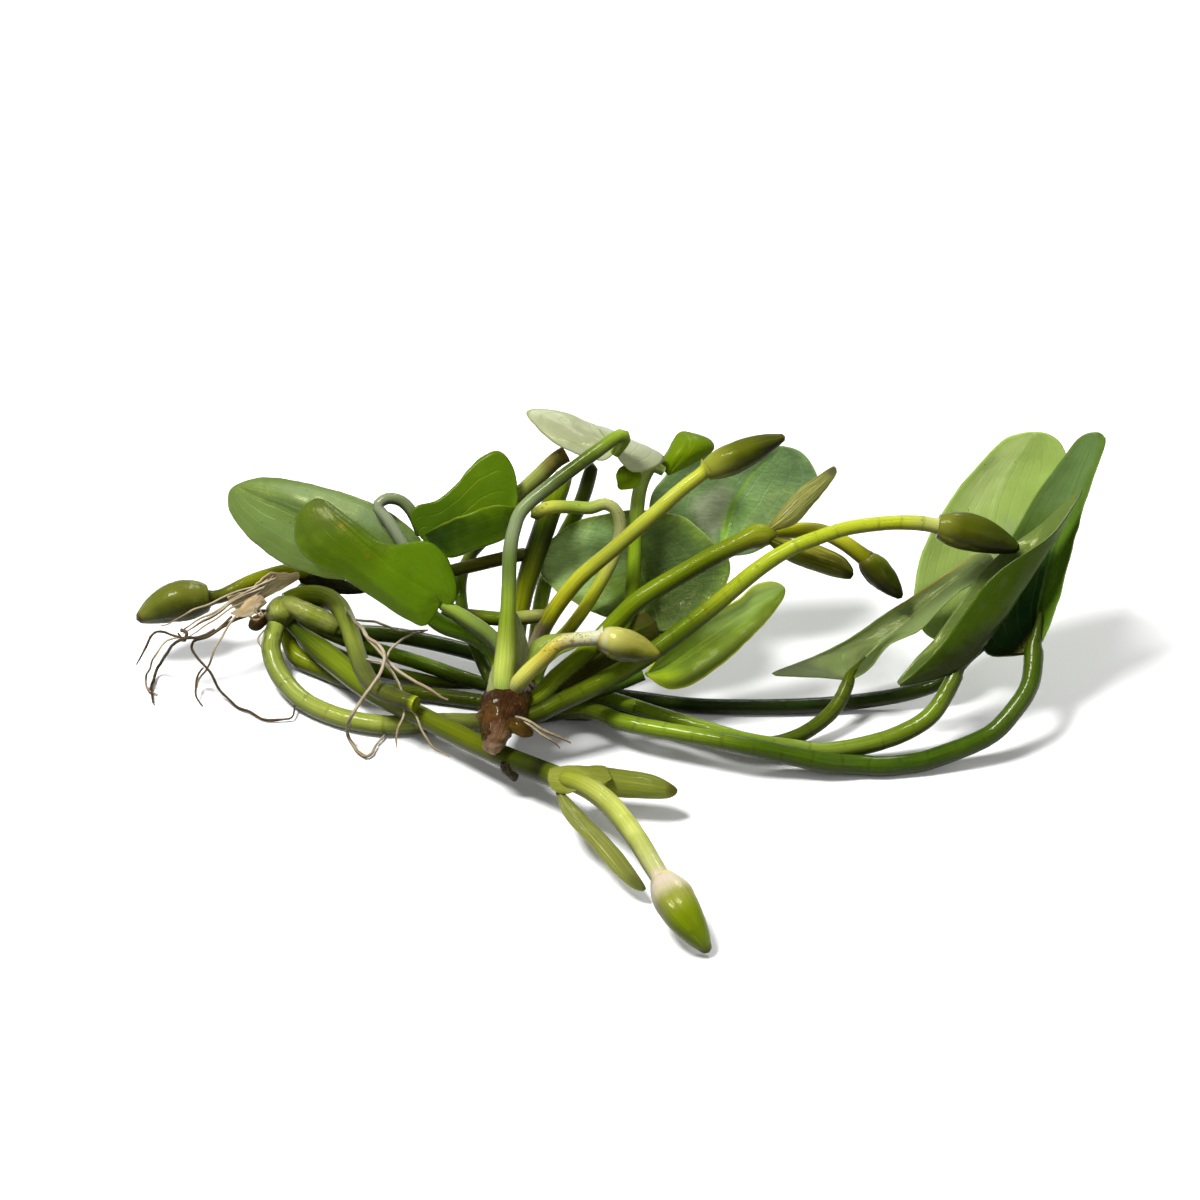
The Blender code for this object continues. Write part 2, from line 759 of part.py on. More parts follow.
def top_leaves(crown):
    blade(
        "leaf_pale_top",
        deep([
            (615, 453, 3), (602, 461, 3), (579, 455, 5), (557, 445, 6), (542, 433, 8), (529, 419, 10),
            (527, 411, 12), (545, 409, 14), (566, 414, 16), (589, 423, 18),
        ]),
        deep([(615, 453, 3), (608, 443, 5), (602, 436, 9), (596, 429, 13), (589, 423, 18)]),
        deep([
            (615, 453, 3), (622, 463, 3), (634, 472, 5), (650, 470, 8), (664, 460, 12), (653, 450, 14),
            (628, 438, 16), (605, 429, 18), (589, 423, 18),
        ]),
        PALE_GREEN,
    )
    blade(
        "leaf_small_curled",
        deep([(668, 475, 16), (660, 465, 17), (668, 450, 18), (674, 439, 19), (683, 432, 20)]),
        deep([(668, 475, 16), (678, 462, 14), (687, 450, 14), (690, 440, 16), (683, 432, 20)]),
        deep([(668, 475, 16), (690, 466, 18), (713, 449, 19), (706, 437, 20), (683, 432, 20)]),
        GREEN,
    )
    blade(
        "leaf_dark_glossy",
        deep([
            (660, 632, 18), (625, 625, 19), (580, 605, 21), (545, 580, 25), (541, 562, 27),
            (552, 538, 27), (578, 521, 26), (606, 514, 25),
        ]),
        deep([(660, 632, 18), (655, 610, 23), (645, 580, 26), (632, 550, 27), (606, 514, 25)]),
        deep([
            (660, 632, 18), (695, 625, 18), (722, 595, 19), (730, 562, 20), (712, 541, 21),
            (687, 519, 22), (660, 512, 23), (632, 510, 24), (606, 514, 25),
        ]),
        DARK_GREEN,
    )
    trim(
        stem(
            "petiole_dark_glossy",
            deep([
                (660.8, 635.9, 19.1), (650, 655, 21), (615, 673, 20), (580, 680, 17.5), (549, 688, 16.5),
                (526, 692, 15),
            ]),
            [1.6, 2.0, 2.1, 2.1, 2.0, 1.7],
            OLIVE,
        ),
        crown,
    )
    blade(
        "leaf_upper_right",
        deep([
            (722, 556, 30), (690, 560, 31), (655, 530, 31), (650, 503, 31), (665, 475, 31),
            (700, 455, 31), (740, 450, 31), (782, 446, 31),
        ]),
        deep([(722, 556, 30), (726, 530, 34), (733, 505, 36), (752, 475, 36), (782, 446, 31)]),
        deep([
            (722, 556, 30), (755, 552, 31), (793, 525, 31), (806, 509, 31), (815, 491, 31),
            (817, 475, 31), (804, 454, 31), (782, 446, 31),
        ]),
        GREY_GREEN,
    )
    trim(
        stem(
            "petiole_upper_right",
            deep([
                (721.3, 559.4, 29.4), (700, 598, 30), (665, 635, 31), (620, 658, 29), (575, 671, 25),
                (549, 683, 21), (545, 686, 20),
            ]),
            [1.6, 2.0, 2.1, 2.1, 2.0, 1.8, 1.7],
            GREEN,
        ),
        crown,
    )
    blade(
        "leaf_lower_right",
        deep([
            (645, 674, 9), (668, 645, 9), (700, 618, 9), (736, 600, 9), (753, 586, 9), (771, 581, 9),
            (785, 588, 9),
        ]),
        deep([(645, 674, 9), (670, 664, 12), (705, 640, 13), (745, 612, 12), (785, 588, 9)]),
        deep([
            (645, 674, 9), (667, 689, 9), (695, 683, 9), (736, 652, 9), (759, 629, 9), (780, 604, 9),
            (785, 588, 9),
        ]),
        LIME,
    )
    trim(
        stem(
            "petiole_lower_right",
            deep([(643.8, 674.8, 9), (610, 687, 9), (580, 696, 9.2), (550, 704, 8.5), (520, 701, 7)]),
            [1.7, 2.1, 2.1, 2.0, 1.8],
            DARK_GREEN,
        ),
        crown,
    )


def back_stems(crown, upper, wide):
    trim(
        stem(
            "cut_back_stem",
            deep([
                (518, 697, 12), (498, 689, 16), (487, 673, 21), (475, 645, 23), (463, 612, 24),
                (461, 580, 27), (470, 556, 27), (485, 538, 24), (508, 506, 19), (535, 480, 17),
                (555, 461, 15), (566, 454, 15),
            ]),
            [1.5, 1.8, 1.9, 1.9, 1.9, 1.9, 1.9, 2.0, 2.3, 2.5, 2.5, 2.6],
            PALE_GREEN,
            sides=1,
        ),
        crown,
    )
    trim(
        stem(
            "brown_back_stem",
            deep([(433, 575, 18), (451, 571, 20), (480, 564, 20.5), (505, 558, 20), (530, 553, 20)]),
            [1.8, 2.0, 2.1, 2.1, 2.0],
            OLIVE,
            sides=1,
        ),
        wide,
    )
    trim(
        stem(
            "side_runner",
            deep([(441, 613, 20), (470, 616, 17.5), (505, 619, 14), (530, 617, 11.5), (549, 615, 9.5)]),
            [1.8, 2.2, 2.2, 2.2, 1.8],
            OLIVE,
            sides=1,
        ),
        upper,
    )


# The four leaves on the long petioles, at the right
def right_leaves():
    blade(
        "leaf_right_pale",
        deep([
            (962, 648, 22), (940, 642, 22), (922, 628, 23), (914, 593, 24), (927, 541, 24),
            (961, 486, 24), (1000, 443, 23), (1018, 434, 22.5), (1036, 431.5, 22),
        ]),
        deep([(962, 648, 22), (970, 610, 26), (984, 545, 28), (1003, 480, 27), (1036, 432, 22)]),
        deep([
            (962, 648, 22), (1000, 640, 22), (1040, 590, 23), (1060, 530, 24), (1068, 480, 24),
            (1065, 450, 23), (1053, 436, 22.5), (1036, 431.5, 22),
        ]),
        PALE_GREEN,
    )
    blade(
        "leaf_right_boat",
        deep([
            (848, 680, 15), (820, 678, 15), (772, 674.5, 15), (800, 662, 17), (841, 644, 18),
            (887, 613, 18), (933, 582, 18), (966, 560, 17), (980, 553, 15.5), (991, 555, 14),
        ]),
        deep([
            (848, 680, 15), (868, 655, 16), (895, 633, 17), (925, 607, 17), (960, 578, 16), (991, 555, 14),
        ]),
        deep([
            (848, 680, 15), (866, 672, 12), (890, 645, 10), (918, 631, 10), (937, 611, 10),
            (960, 591, 10), (982, 580, 11), (994, 568, 12.5), (991, 555, 14),
        ]),
        GREY_GREEN,
    )
    blade(
        "leaf_right_tall",
        deep([
            (1034, 653, 8), (1010, 656, 10), (985, 652, 12), (975, 612, 13), (1014, 532, 13),
            (1043, 485, 12), (1070, 448, 10), (1083, 435, 8.5), (1096, 432, 7),
        ]),
        deep([(1034, 653, 8), (1040, 600, 13), (1056, 540, 14), (1077, 480, 12), (1096, 432, 7)]),
        deep([
            (1034, 653, 8), (1046, 635, 8), (1058, 600, 8), (1069, 560, 8), (1083, 510, 8),
            (1096, 470, 7), (1105, 443, 6), (1103, 435, 6.5), (1096, 432, 7),
        ]),
        DARK_GREEN,
    )
    blade(
        "leaf_right_folded",
        deep([
            (958, 668, 4), (930, 672, 5), (897, 685, 5), (911, 664, 6), (941, 630, 8), (987, 566, 8),
            (1040, 525, 6), (1082, 489, 2),
        ]),
        deep([(958, 668, 4), (985, 648, 3), (1018, 600, 2), (1052, 545, 1), (1082, 489, 2)]),
        deep([
            (958, 668, 4), (932, 680, 2), (898, 687, 2), (913, 674, 0), (945, 641, -2), (990, 579, -3),
            (1050, 535, -2), (1082, 489, 2),
        ]),
        GREEN,
        fold=0.7,
    )


def root_tufts(crown, centre):
    left = [
        stem(
            "left_roots",
            deep([
                (274, 612, 38), (258, 611, 35), (245, 617, 31.5), (226, 625, 28), (203, 638, 26),
                (177, 641, 25),
            ])
            + lying([(158, 668, 3), (152, 690, 1.2), (153, 703, 1.2)]),
            0.8,
            TAN,
            DRY,
            ROOT_SPACING,
            0,
        ),
        stem(
            "root_strand_a",
            deep([(215, 629, 27), (190, 639, 26), (160, 632, 26), (145, 648, 27), (136, 665, 27)]),
            0.6,
            BROWN,
            DRY,
            ROOT_SPACING,
            0,
        ),
        stem(
            "root_strand_b",
            deep([(232, 616, 28), (212, 634, 27), (192, 645, 27), (207, 669, 26)])
            + lying([(226, 697, 2), (263, 719, 0.9), (290, 719, 0.9)]),
            0.6,
            BROWN,
            DRY,
            ROOT_SPACING,
            0,
        ),
    ]
    trim(fuse(left), crown)
    middle = [
        stem(
            "middle_roots",
            deep([(348, 611, 26.6), (362, 630, 18), (385, 663, 4.6), (352, 715, 1.8)])
            + lying([(349, 738, 1.8), (366, 756, 1.4), (377, 744, 1.4)]),
            0.6,
            TAN,
            DRY,
            ROOT_SPACING,
            0,
        ),
        stem(
            "root_strand_c",
            deep([(362, 628, 18.5), (376, 648, 12), (396, 670, 7), (430, 690, 5), (448, 700, 5)]),
            0.6,
            TAN,
            DRY,
            ROOT_SPACING,
            0,
        ),
    ]
    fuse(middle)
    trim(
        stem(
            "center_roots",
            deep([(505, 716, -13), (520, 718, -15), (545, 730, -16), (571, 743, -15)]),
            [0.9, 0.8, 0.7, 0.6],
            TAN,
            DRY,
            ROOT_SPACING,
            0,
        ),
        centre,
    )


left = left_crown()
left_flower_shoot(left)
front_shoot(long_petioles(left))
centre = centre_crown()
upper, middle, wide = centre_stems(centre)
flowering_joint(middle)
left_leaves(centre)
top_leaves(centre)
back_stems(centre, upper, wide)
right_leaves()
root_tufts(left, centre)
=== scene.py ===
import json
import math
import random

import bmesh
import bpy
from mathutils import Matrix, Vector, noise

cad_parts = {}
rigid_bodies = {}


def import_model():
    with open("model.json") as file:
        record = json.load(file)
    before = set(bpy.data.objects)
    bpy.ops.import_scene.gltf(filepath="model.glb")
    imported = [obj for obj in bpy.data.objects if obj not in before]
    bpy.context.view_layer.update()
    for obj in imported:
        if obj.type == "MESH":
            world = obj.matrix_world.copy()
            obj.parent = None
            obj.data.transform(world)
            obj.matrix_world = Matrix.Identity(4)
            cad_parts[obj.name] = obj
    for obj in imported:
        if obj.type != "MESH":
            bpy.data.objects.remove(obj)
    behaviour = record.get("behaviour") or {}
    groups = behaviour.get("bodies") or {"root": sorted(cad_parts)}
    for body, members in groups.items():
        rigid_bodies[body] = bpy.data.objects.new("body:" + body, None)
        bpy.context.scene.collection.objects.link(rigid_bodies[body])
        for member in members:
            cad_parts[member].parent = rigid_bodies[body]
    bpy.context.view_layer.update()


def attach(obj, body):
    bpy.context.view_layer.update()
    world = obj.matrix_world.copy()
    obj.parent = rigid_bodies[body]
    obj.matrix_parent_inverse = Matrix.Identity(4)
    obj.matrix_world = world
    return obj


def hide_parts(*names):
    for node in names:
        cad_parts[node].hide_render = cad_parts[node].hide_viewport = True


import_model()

# ---- The viewpoint, the table and the light.
# The plant lies on a plain white table and is seen from in front and 36 degrees above it. Its pieces
# are laid out on a sighting grid that faces the eye: x to the right, y down, a step of 0.3 mm, and
# (620, 775) on the table. A third number is the depth behind the grid or the height, in millimetres.
MM = 0.001
GRID_STEP = 0.3 * MM
GRID_MIDDLE = 600
TABLE_MARK_X = 620
TABLE_MARK_Y = 775
VIEW_TILT = math.radians(36)
EYE_DISTANCE = 1.2
SENSOR_WIDTH = 36
SEEN_DISTANCES = (0.05, 20)
PLANT_MIDDLE = Vector((-0.00205, 0.00045, 0.0))
ACROSS = Vector((1, 0, 0))
UP = Vector((0, math.sin(VIEW_TILT), math.cos(VIEW_TILT)))
TOWARDS_EYE = Vector((0, -math.cos(VIEW_TILT), math.sin(VIEW_TILT)))
GRID_CENTRE = (
    ACROSS * (GRID_MIDDLE - TABLE_MARK_X) * GRID_STEP
    + UP * (TABLE_MARK_Y - GRID_MIDDLE) * GRID_STEP
)
EYE = GRID_CENTRE + TOWARDS_EYE * EYE_DISTANCE


def sight_line(x, y):
    """Returns the vector from the eye to grid place (x, y)."""
    across = ACROSS * (x - GRID_MIDDLE) * GRID_STEP
    up = UP * (GRID_MIDDLE - y) * GRID_STEP
    return GRID_CENTRE + across + up - EYE


def deep(places):
    """Turns (x, y, millimetres behind the grid) into points."""
    return [
        EYE + sight_line(x, y) * (1 + behind * MM / EYE_DISTANCE) - PLANT_MIDDLE
        for x, y, behind in places
    ]


def lying(places):
    """Turns (x, y, millimetres above the table) into points."""
    points = []
    for x, y, height in places:
        line = sight_line(x, y)
        points.append(EYE + line * ((height * MM - EYE.z) / line.z) - PLANT_MIDDLE)
    return points


SHEEN = 0.012
ROOM_LIGHT = 1.5
DARKEST = 0.002


def colour_of(code):
    """Turns a colour code 0xRRGGBB, as the eye sees it, into the tissue's own linear colour.

    The sheen that the white room lays over the tissue and the brightness of its light are taken out.
    """
    values = []
    for step in code.to_bytes(3, "big"):
        share = step / 255
        seen = share / 12.92 if share <= 0.04045 else ((share + 0.055) / 1.055) ** 2.4
        values.append(max(DARKEST, (seen - SHEEN) / ROOM_LIGHT))
    return (*values, 1.0)


camera = bpy.data.objects.new("eye", bpy.data.cameras.new("eye"))
bpy.context.scene.collection.objects.link(camera)
bpy.context.scene.camera = camera
camera.data.sensor_width = SENSOR_WIDTH
camera.data.lens = SENSOR_WIDTH * EYE_DISTANCE / (2 * GRID_MIDDLE * GRID_STEP)
camera.data.clip_start, camera.data.clip_end = SEEN_DISTANCES
camera.location = EYE - PLANT_MIDDLE
camera.rotation_euler = (GRID_CENTRE - EYE).to_track_quat("-Z", "Y").to_euler()

TABLE_SIZE = 12
TABLE_WHITE = (0.90, 0.90, 0.895, 1)
TABLE_ROUGHNESS = 0.6
bpy.ops.mesh.primitive_plane_add(size=TABLE_SIZE, location=(0, 0, 0))
table = bpy.context.object
table.name = "table"
white = bpy.data.materials.new("white_table")
white.use_nodes = True
white.node_tree.nodes["Principled BSDF"].inputs["Base Color"].default_value = TABLE_WHITE
white.node_tree.nodes["Principled BSDF"].inputs["Roughness"].default_value = TABLE_ROUGHNESS
table.data.materials.append(white)

LIT_PLACE = Vector((0, 0.02, 0.03))
ROOM_STRENGTH = 0.33


def soft_light(name, place, size, power):
    lamp = bpy.data.objects.new(name, bpy.data.lights.new(name, "AREA"))
    lamp.data.shape = "DISK"
    lamp.data.size = size
    lamp.data.energy = power
    lamp.location = place
    lamp.rotation_euler = (LIT_PLACE - Vector(place)).to_track_quat("-Z", "Y").to_euler()
    bpy.context.scene.collection.objects.link(lamp)


soft_light("window_light", (-0.55, -0.1, 1.3), 0.42, 30)
soft_light("fill_light", (0.9, -0.9, 0.9), 0.9, 4)
soft_light("back_light", (0.2, 1.1, 1.0), 0.35, 8)
world = bpy.data.worlds.new("white_room")
world.use_nodes = True
world.node_tree.nodes["Background"].inputs["Color"].default_value = (1, 1, 1, 1)
world.node_tree.nodes["Background"].inputs["Strength"].default_value = ROOM_STRENGTH
bpy.context.scene.world = world
bpy.context.scene.view_settings.view_transform = "Standard"


# ---- The left crown: a thumb-thick pale sheath of leaf bases where the four long petioles, the runner
# and a flower stalk begin, with a striped brown stub of old rhizome at its side. It is wet and half
# translucent, all one growth in life.
STEM_STEP = 1.5 * MM
SAMPLES_PER_SPAN = 24
SHARP_STEM_EDGE = math.radians(60)

WATER_IOR = 1.33
TISSUE_IOR = 1.42
TISSUE_GLOSS = 0.14
TISSUE_GLOSS_TINT = (1, 1, 0.12, 1)
FILM_TINT = (1, 1, 0.97, 1)
FILM_COVER = 0.45
FILM_ROUGHNESS = 0.1
SHEER_REACH = (0.6, 1.0, 0.3)
SHEER_DEPTH = 1.5 * MM

# The noise scales of what is seen in the skin of a stem; the fibres' are across it and along it.
FIBRES_ACROSS = 15.0
FIBRES_ALONG = 0.05
CLOUD_SCALE = 110.0
FRAY_SCALE = 420.0
WALL_WANDER_SCALE = 160.0
WALL_BREAK_SCALE = 240.0
SPECK_SCALE = 1300.0

# Where each pattern begins and is full, in its own noise, facing or distance.
CLOUD_RANGE = (0.42, 0.62)
FIBRE_RANGE = (0.38, 0.66)
# The next two ranges set where the painted light on the upper side and the painted shade on the underside
# begin and are full, by how the skin faces up.
TOP_LIGHT_RANGE = (0.1, 0.95)
PAINTED_SHADE_RANGE = (-0.25, 0.92)
SCAR_RANGE = (0.7, 1.1)
SCAR_RAGGEDNESS = 0.9
SCAR_SIDE_RANGE = (0.1, 0.6)
WALL_WANDER = 3.0
WALL_RANGE = (0.1, 0.8)
WALL_BREAK_RANGE = (0.4, 0.6)
WALL_DEPTH = 0.5
SPECK_FADE = 0.03
MOST_SPECKS = 0.75
STEM_FILM_DEPTH = 0.6
WAIST_WIDTH = 1.1
NARROWEST_END = 0.02


def smooth(values, count, beyond=None):
    """Returns count points evenly spaced along a smooth curve through the values.

    beyond is where the curve would go on to after its last point.
    """
    ahead = [*values, values[-1] if beyond is None else beyond]
    fine = []
    for i in range(len(values) - 1):
        before = values[max(i - 1, 0)]
        start, end = values[i], values[i + 1]
        after = ahead[i + 2]
        for k in range(SAMPLES_PER_SPAN):
            t = k / SAMPLES_PER_SPAN
            fine.append(
                start
                + (end - before) * (0.5 * t)
                + (before - start * 2.5 + end * 2 - after * 0.5) * t**2
                + (start * 1.5 - before * 0.5 - end * 1.5 + after * 0.5) * t**3
            )
    fine.append(values[-1])
    travelled = [0.0]
    for a, b in zip(fine, fine[1:]):
        travelled.append(travelled[-1] + (b.xyz - a.xyz).length)
    spaced = []
    k = 0
    for i in range(count):
        target = travelled[-1] * i / (count - 1)
        while k < len(fine) - 2 and travelled[k + 1] < target:
            k += 1
        step = travelled[k + 1] - travelled[k]
        share = (target - travelled[k]) / step if step else 0.0
        spaced.append(fine[k].lerp(fine[k + 1], min(max(share, 0.0), 1.0)))
    return spaced


def run_length(points):
    return sum((b.xyz - a.xyz).length for a, b in zip(points, points[1:]))


def rod(points, radii):
    """Joins points and radii in millimetres to one list of (x, y, z, radius)."""
    return [Vector((*point, radius)) for point, radius in zip(points, radii)]


class Wire:
    """What flows out of a node's socket. A sum with it makes the node that works the sum out."""

    def __init__(self, socket):
        self.socket = socket
        self.tree = socket.id_data

    def math(self, operation, *others):
        return add_node(self.tree, "ShaderNodeMath", (self, *others), operation=operation)

    def __add__(self, other):
        return self.math("ADD", other)

    def __sub__(self, other):
        return self.math("SUBTRACT", other)

    def __mul__(self, other):
        return self.math("MULTIPLY", other)

    def __truediv__(self, other):
        return self.math("DIVIDE", other)

    def __rsub__(self, other):
        return add_node(self.tree, "ShaderNodeMath", (other, self), operation="SUBTRACT")

    def __rtruediv__(self, other):
        return add_node(self.tree, "ShaderNodeMath", (other, self), operation="DIVIDE")


def feed(node, inputs):
    """Links wires to the node's inputs, or sets them to plain values; inputs is a list or a dict."""
    for key, value in inputs.items() if isinstance(inputs, dict) else enumerate(inputs):
        if isinstance(value, Wire):
            node.id_data.links.new(value.socket, node.inputs[key])
        else:
            node.inputs[key].default_value = value


def add_node(tree, kind, inputs=(), output=0, **settings):
    node = tree.nodes.new(kind)
    for setting, value in settings.items():
        setattr(node, setting, value)
    feed(node, inputs)
    return Wire(node.outputs[output])


def parts(vector):
    """Splits a vector into wires for its x, y and z."""
    node = vector.tree.nodes.new("ShaderNodeSeparateXYZ")
    feed(node, (vector,))
    return [Wire(socket) for socket in node.outputs]


def ease(value, low, high, bottom=0.0, top=1.0):
    """Goes smoothly from bottom to top as the value goes from low to high."""
    ends = (value, low, high, bottom, top)
    return add_node(value.tree, "ShaderNodeMapRange", ends, interpolation_type="SMOOTHSTEP")


def grain(place, scale, detail=3.0, distortion=0.0):
    look = {"Vector": place, "Scale": scale, "Detail": detail, "Distortion": distortion}
    return add_node(place.tree, "ShaderNodeTexNoise", look)


def mixed(share, one, two, mode="MIX"):
    """Mixes two colours, each a wire or a colour code as the eye sees it."""
    tree = next(value.tree for value in (share, one, two) if isinstance(value, Wire))
    one, two = (colour if isinstance(colour, Wire) else colour_of(colour) for colour in (one, two))
    inputs = {0: share, 6: one, 7: two}
    return add_node(tree, "ShaderNodeMix", inputs, 2, data_type="RGBA", blend_type=mode)


def toned(colour, tone):
    return mixed(1.0, colour, add_node(colour.tree, "ShaderNodeCombineColor", (tone,) * 3), "MULTIPLY")


def ramp(value, stops):
    node = value.tree.nodes.new("ShaderNodeValToRGB")
    node.color_ramp.interpolation = "EASE"
    elements = node.color_ramp.elements
    while len(elements) < len(stops):
        elements.new(0.5)
    for element, (place, colour) in zip(elements, stops):
        element.position = place
        element.color = colour_of(colour)
    feed(node, (value,))
    return Wire(node.outputs[0])


def attribute(tree, name, output="Fac"):
    return add_node(tree, "ShaderNodeAttribute", output=output, attribute_name=name)


def new_skin(name, rough, wet, sheer):
    """A Principled material for wet plant tissue; wet is the weight of the water film on it."""
    material = bpy.data.materials.new(name)
    material.use_nodes = True
    shader = material.node_tree.nodes["Principled BSDF"]
    feed(shader, {
        "Roughness": rough, "IOR": TISSUE_IOR, "Specular IOR Level": TISSUE_GLOSS,
        "Specular Tint": TISSUE_GLOSS_TINT, "Coat Tint": FILM_TINT, "Coat Weight": FILM_COVER * wet,
        "Coat Roughness": FILM_ROUGHNESS, "Coat IOR": WATER_IOR,
    })
    if sheer:
        feed(shader, {
            "Subsurface Weight": sheer, "Subsurface Radius": SHEER_REACH, "Subsurface Scale": SHEER_DEPTH,
        })
    return material, shader


def speckle(place, specks, scale, distortion, sharpness, most=1.0):
    """Spots that cover more of the skin, the higher specks is."""
    edge = 0.72 - 0.3 * specks
    return ease(grain(place, scale, 5.0, distortion), edge, edge + sharpness, 0.0, most)


def finish(shader, colour, height, depth, film, film_depth):
    """Colours the tissue, bumps it by the height pattern and the water film by one of its own."""
    tree = colour.tree
    feed(shader, {
        "Base Color": colour,
        "Normal": add_node(tree, "ShaderNodeBump", {"Strength": 1.0, "Distance": depth, "Height": height}),
        "Coat Normal": add_node(
            tree, "ShaderNodeBump", {"Strength": 1.0, "Distance": film_depth, "Height": film}
        ),
    })


def stem_skin(name, stops, second, blotch=0.35, streak=0.3, septa=0.0, septa_tone=0.74, specks=0.0,
              speck_colour=0x785828, speck_range=(0.0, 1.0), top=None, top_light_share=0.5, painted_underside_shade=0.76,
              rough=0.34, scars=(), wet=0.6, sheer=0.0, bump=0.16, broken=0.3):
    """The skin of a petiole or stalk: colours along it, lengthwise fibres, painted light on its upper side
    and painted shade on its underside.

    stops are (share of the length, colour), and second is the colour of the cloudy blotches on them.
    septa is the spacing of the cross walls in millimetres.
    specks is how much of the skin is speckled brown, and broken is how uneven the water film is.
    top is a colour painted on the upper side as the light that falls on it, and belly is how much darker the
    underside is painted, as its shade.
    scars are (share, reach, colour, amount, side): stained places along it, all the way round where
    side is None and else on that side only.
    """
    material, shader = new_skin(name, rough, wet, sheer)
    tree = material.node_tree
    place = add_node(tree, "ShaderNodeTexCoord", output="Object")
    outward = add_node(tree, "ShaderNodeTexCoord", output="Normal")
    along = attribute(tree, "along")
    share = attribute(tree, "share")
    across = parts(attribute(tree, "ring", "Vector"))
    fibre_at = add_node(tree, "ShaderNodeCombineXYZ", (
        across[0] * FIBRES_ACROSS, across[1] * FIBRES_ACROSS, along * FIBRES_ALONG,
    ))
    fibre = grain(fibre_at, 1.0, 4.0)
    cloud = ease(grain(place, CLOUD_SCALE, 4.0), *CLOUD_RANGE)
    colour = mixed(cloud * blotch, ramp(share, stops), second)
    facing_up = parts(outward)[2]
    # The upper side is painted in the top colour, as the light that falls on it.
    if top:
        colour = mixed(ease(facing_up, *TOP_LIGHT_RANGE) * top_light_share, colour, top)
    for centre, reach, mark_colour, amount, side in scars:
        frayed = (grain(place, FRAY_SCALE, 3.0) - 0.5) * SCAR_RAGGEDNESS
        stained = ease(frayed + (share - centre).math("ABSOLUTE") / reach, *SCAR_RANGE, amount, 0.0)
        if side:
            turned = add_node(tree, "ShaderNodeVectorMath", (outward, side), "Value", operation="DOT_PRODUCT")
            stained = stained * ease(turned, *SCAR_SIDE_RANGE)
        colour = mixed(stained, colour, mark_colour)
    # The underside is painted darker, as shade, by how far the skin faces down.
    painted_shading = ease(facing_up, *PAINTED_SHADE_RANGE, 1 - painted_underside_shade, 1.0)
    tone = (1.0 - ease(fibre, *FIBRE_RANGE) * streak) * painted_shading
    height = fibre
    if septa:
        from_wall = (grain(place, WALL_WANDER_SCALE, 2.0) * WALL_WANDER + along).math("PINGPONG", septa / 2)
        broken_up = ease(grain(place, WALL_BREAK_SCALE, 2.0), *WALL_BREAK_RANGE)
        wall = ease(from_wall, *WALL_RANGE, 1.0, 0.0) * broken_up
        height = wall * -WALL_DEPTH + fibre
        tone = tone * (1.0 - wall * (1 - septa_tone))
    colour = toned(colour, tone)
    if specks:
        low, high = speck_range
        begun = ease(share, low - SPECK_FADE, low + SPECK_FADE)
        near = begun * ease(share, high - SPECK_FADE, high + SPECK_FADE, 1.0, 0.0)
        spots = speckle(place, specks, SPECK_SCALE, 0.6, 0.06, MOST_SPECKS)
        colour = mixed(spots * near, colour, speck_colour)
    film = grain(place, FRAY_SCALE, 2.0)
    finish(shader, colour, height, bump * MM, film, broken * STEM_FILM_DEPTH * MM)
    return material


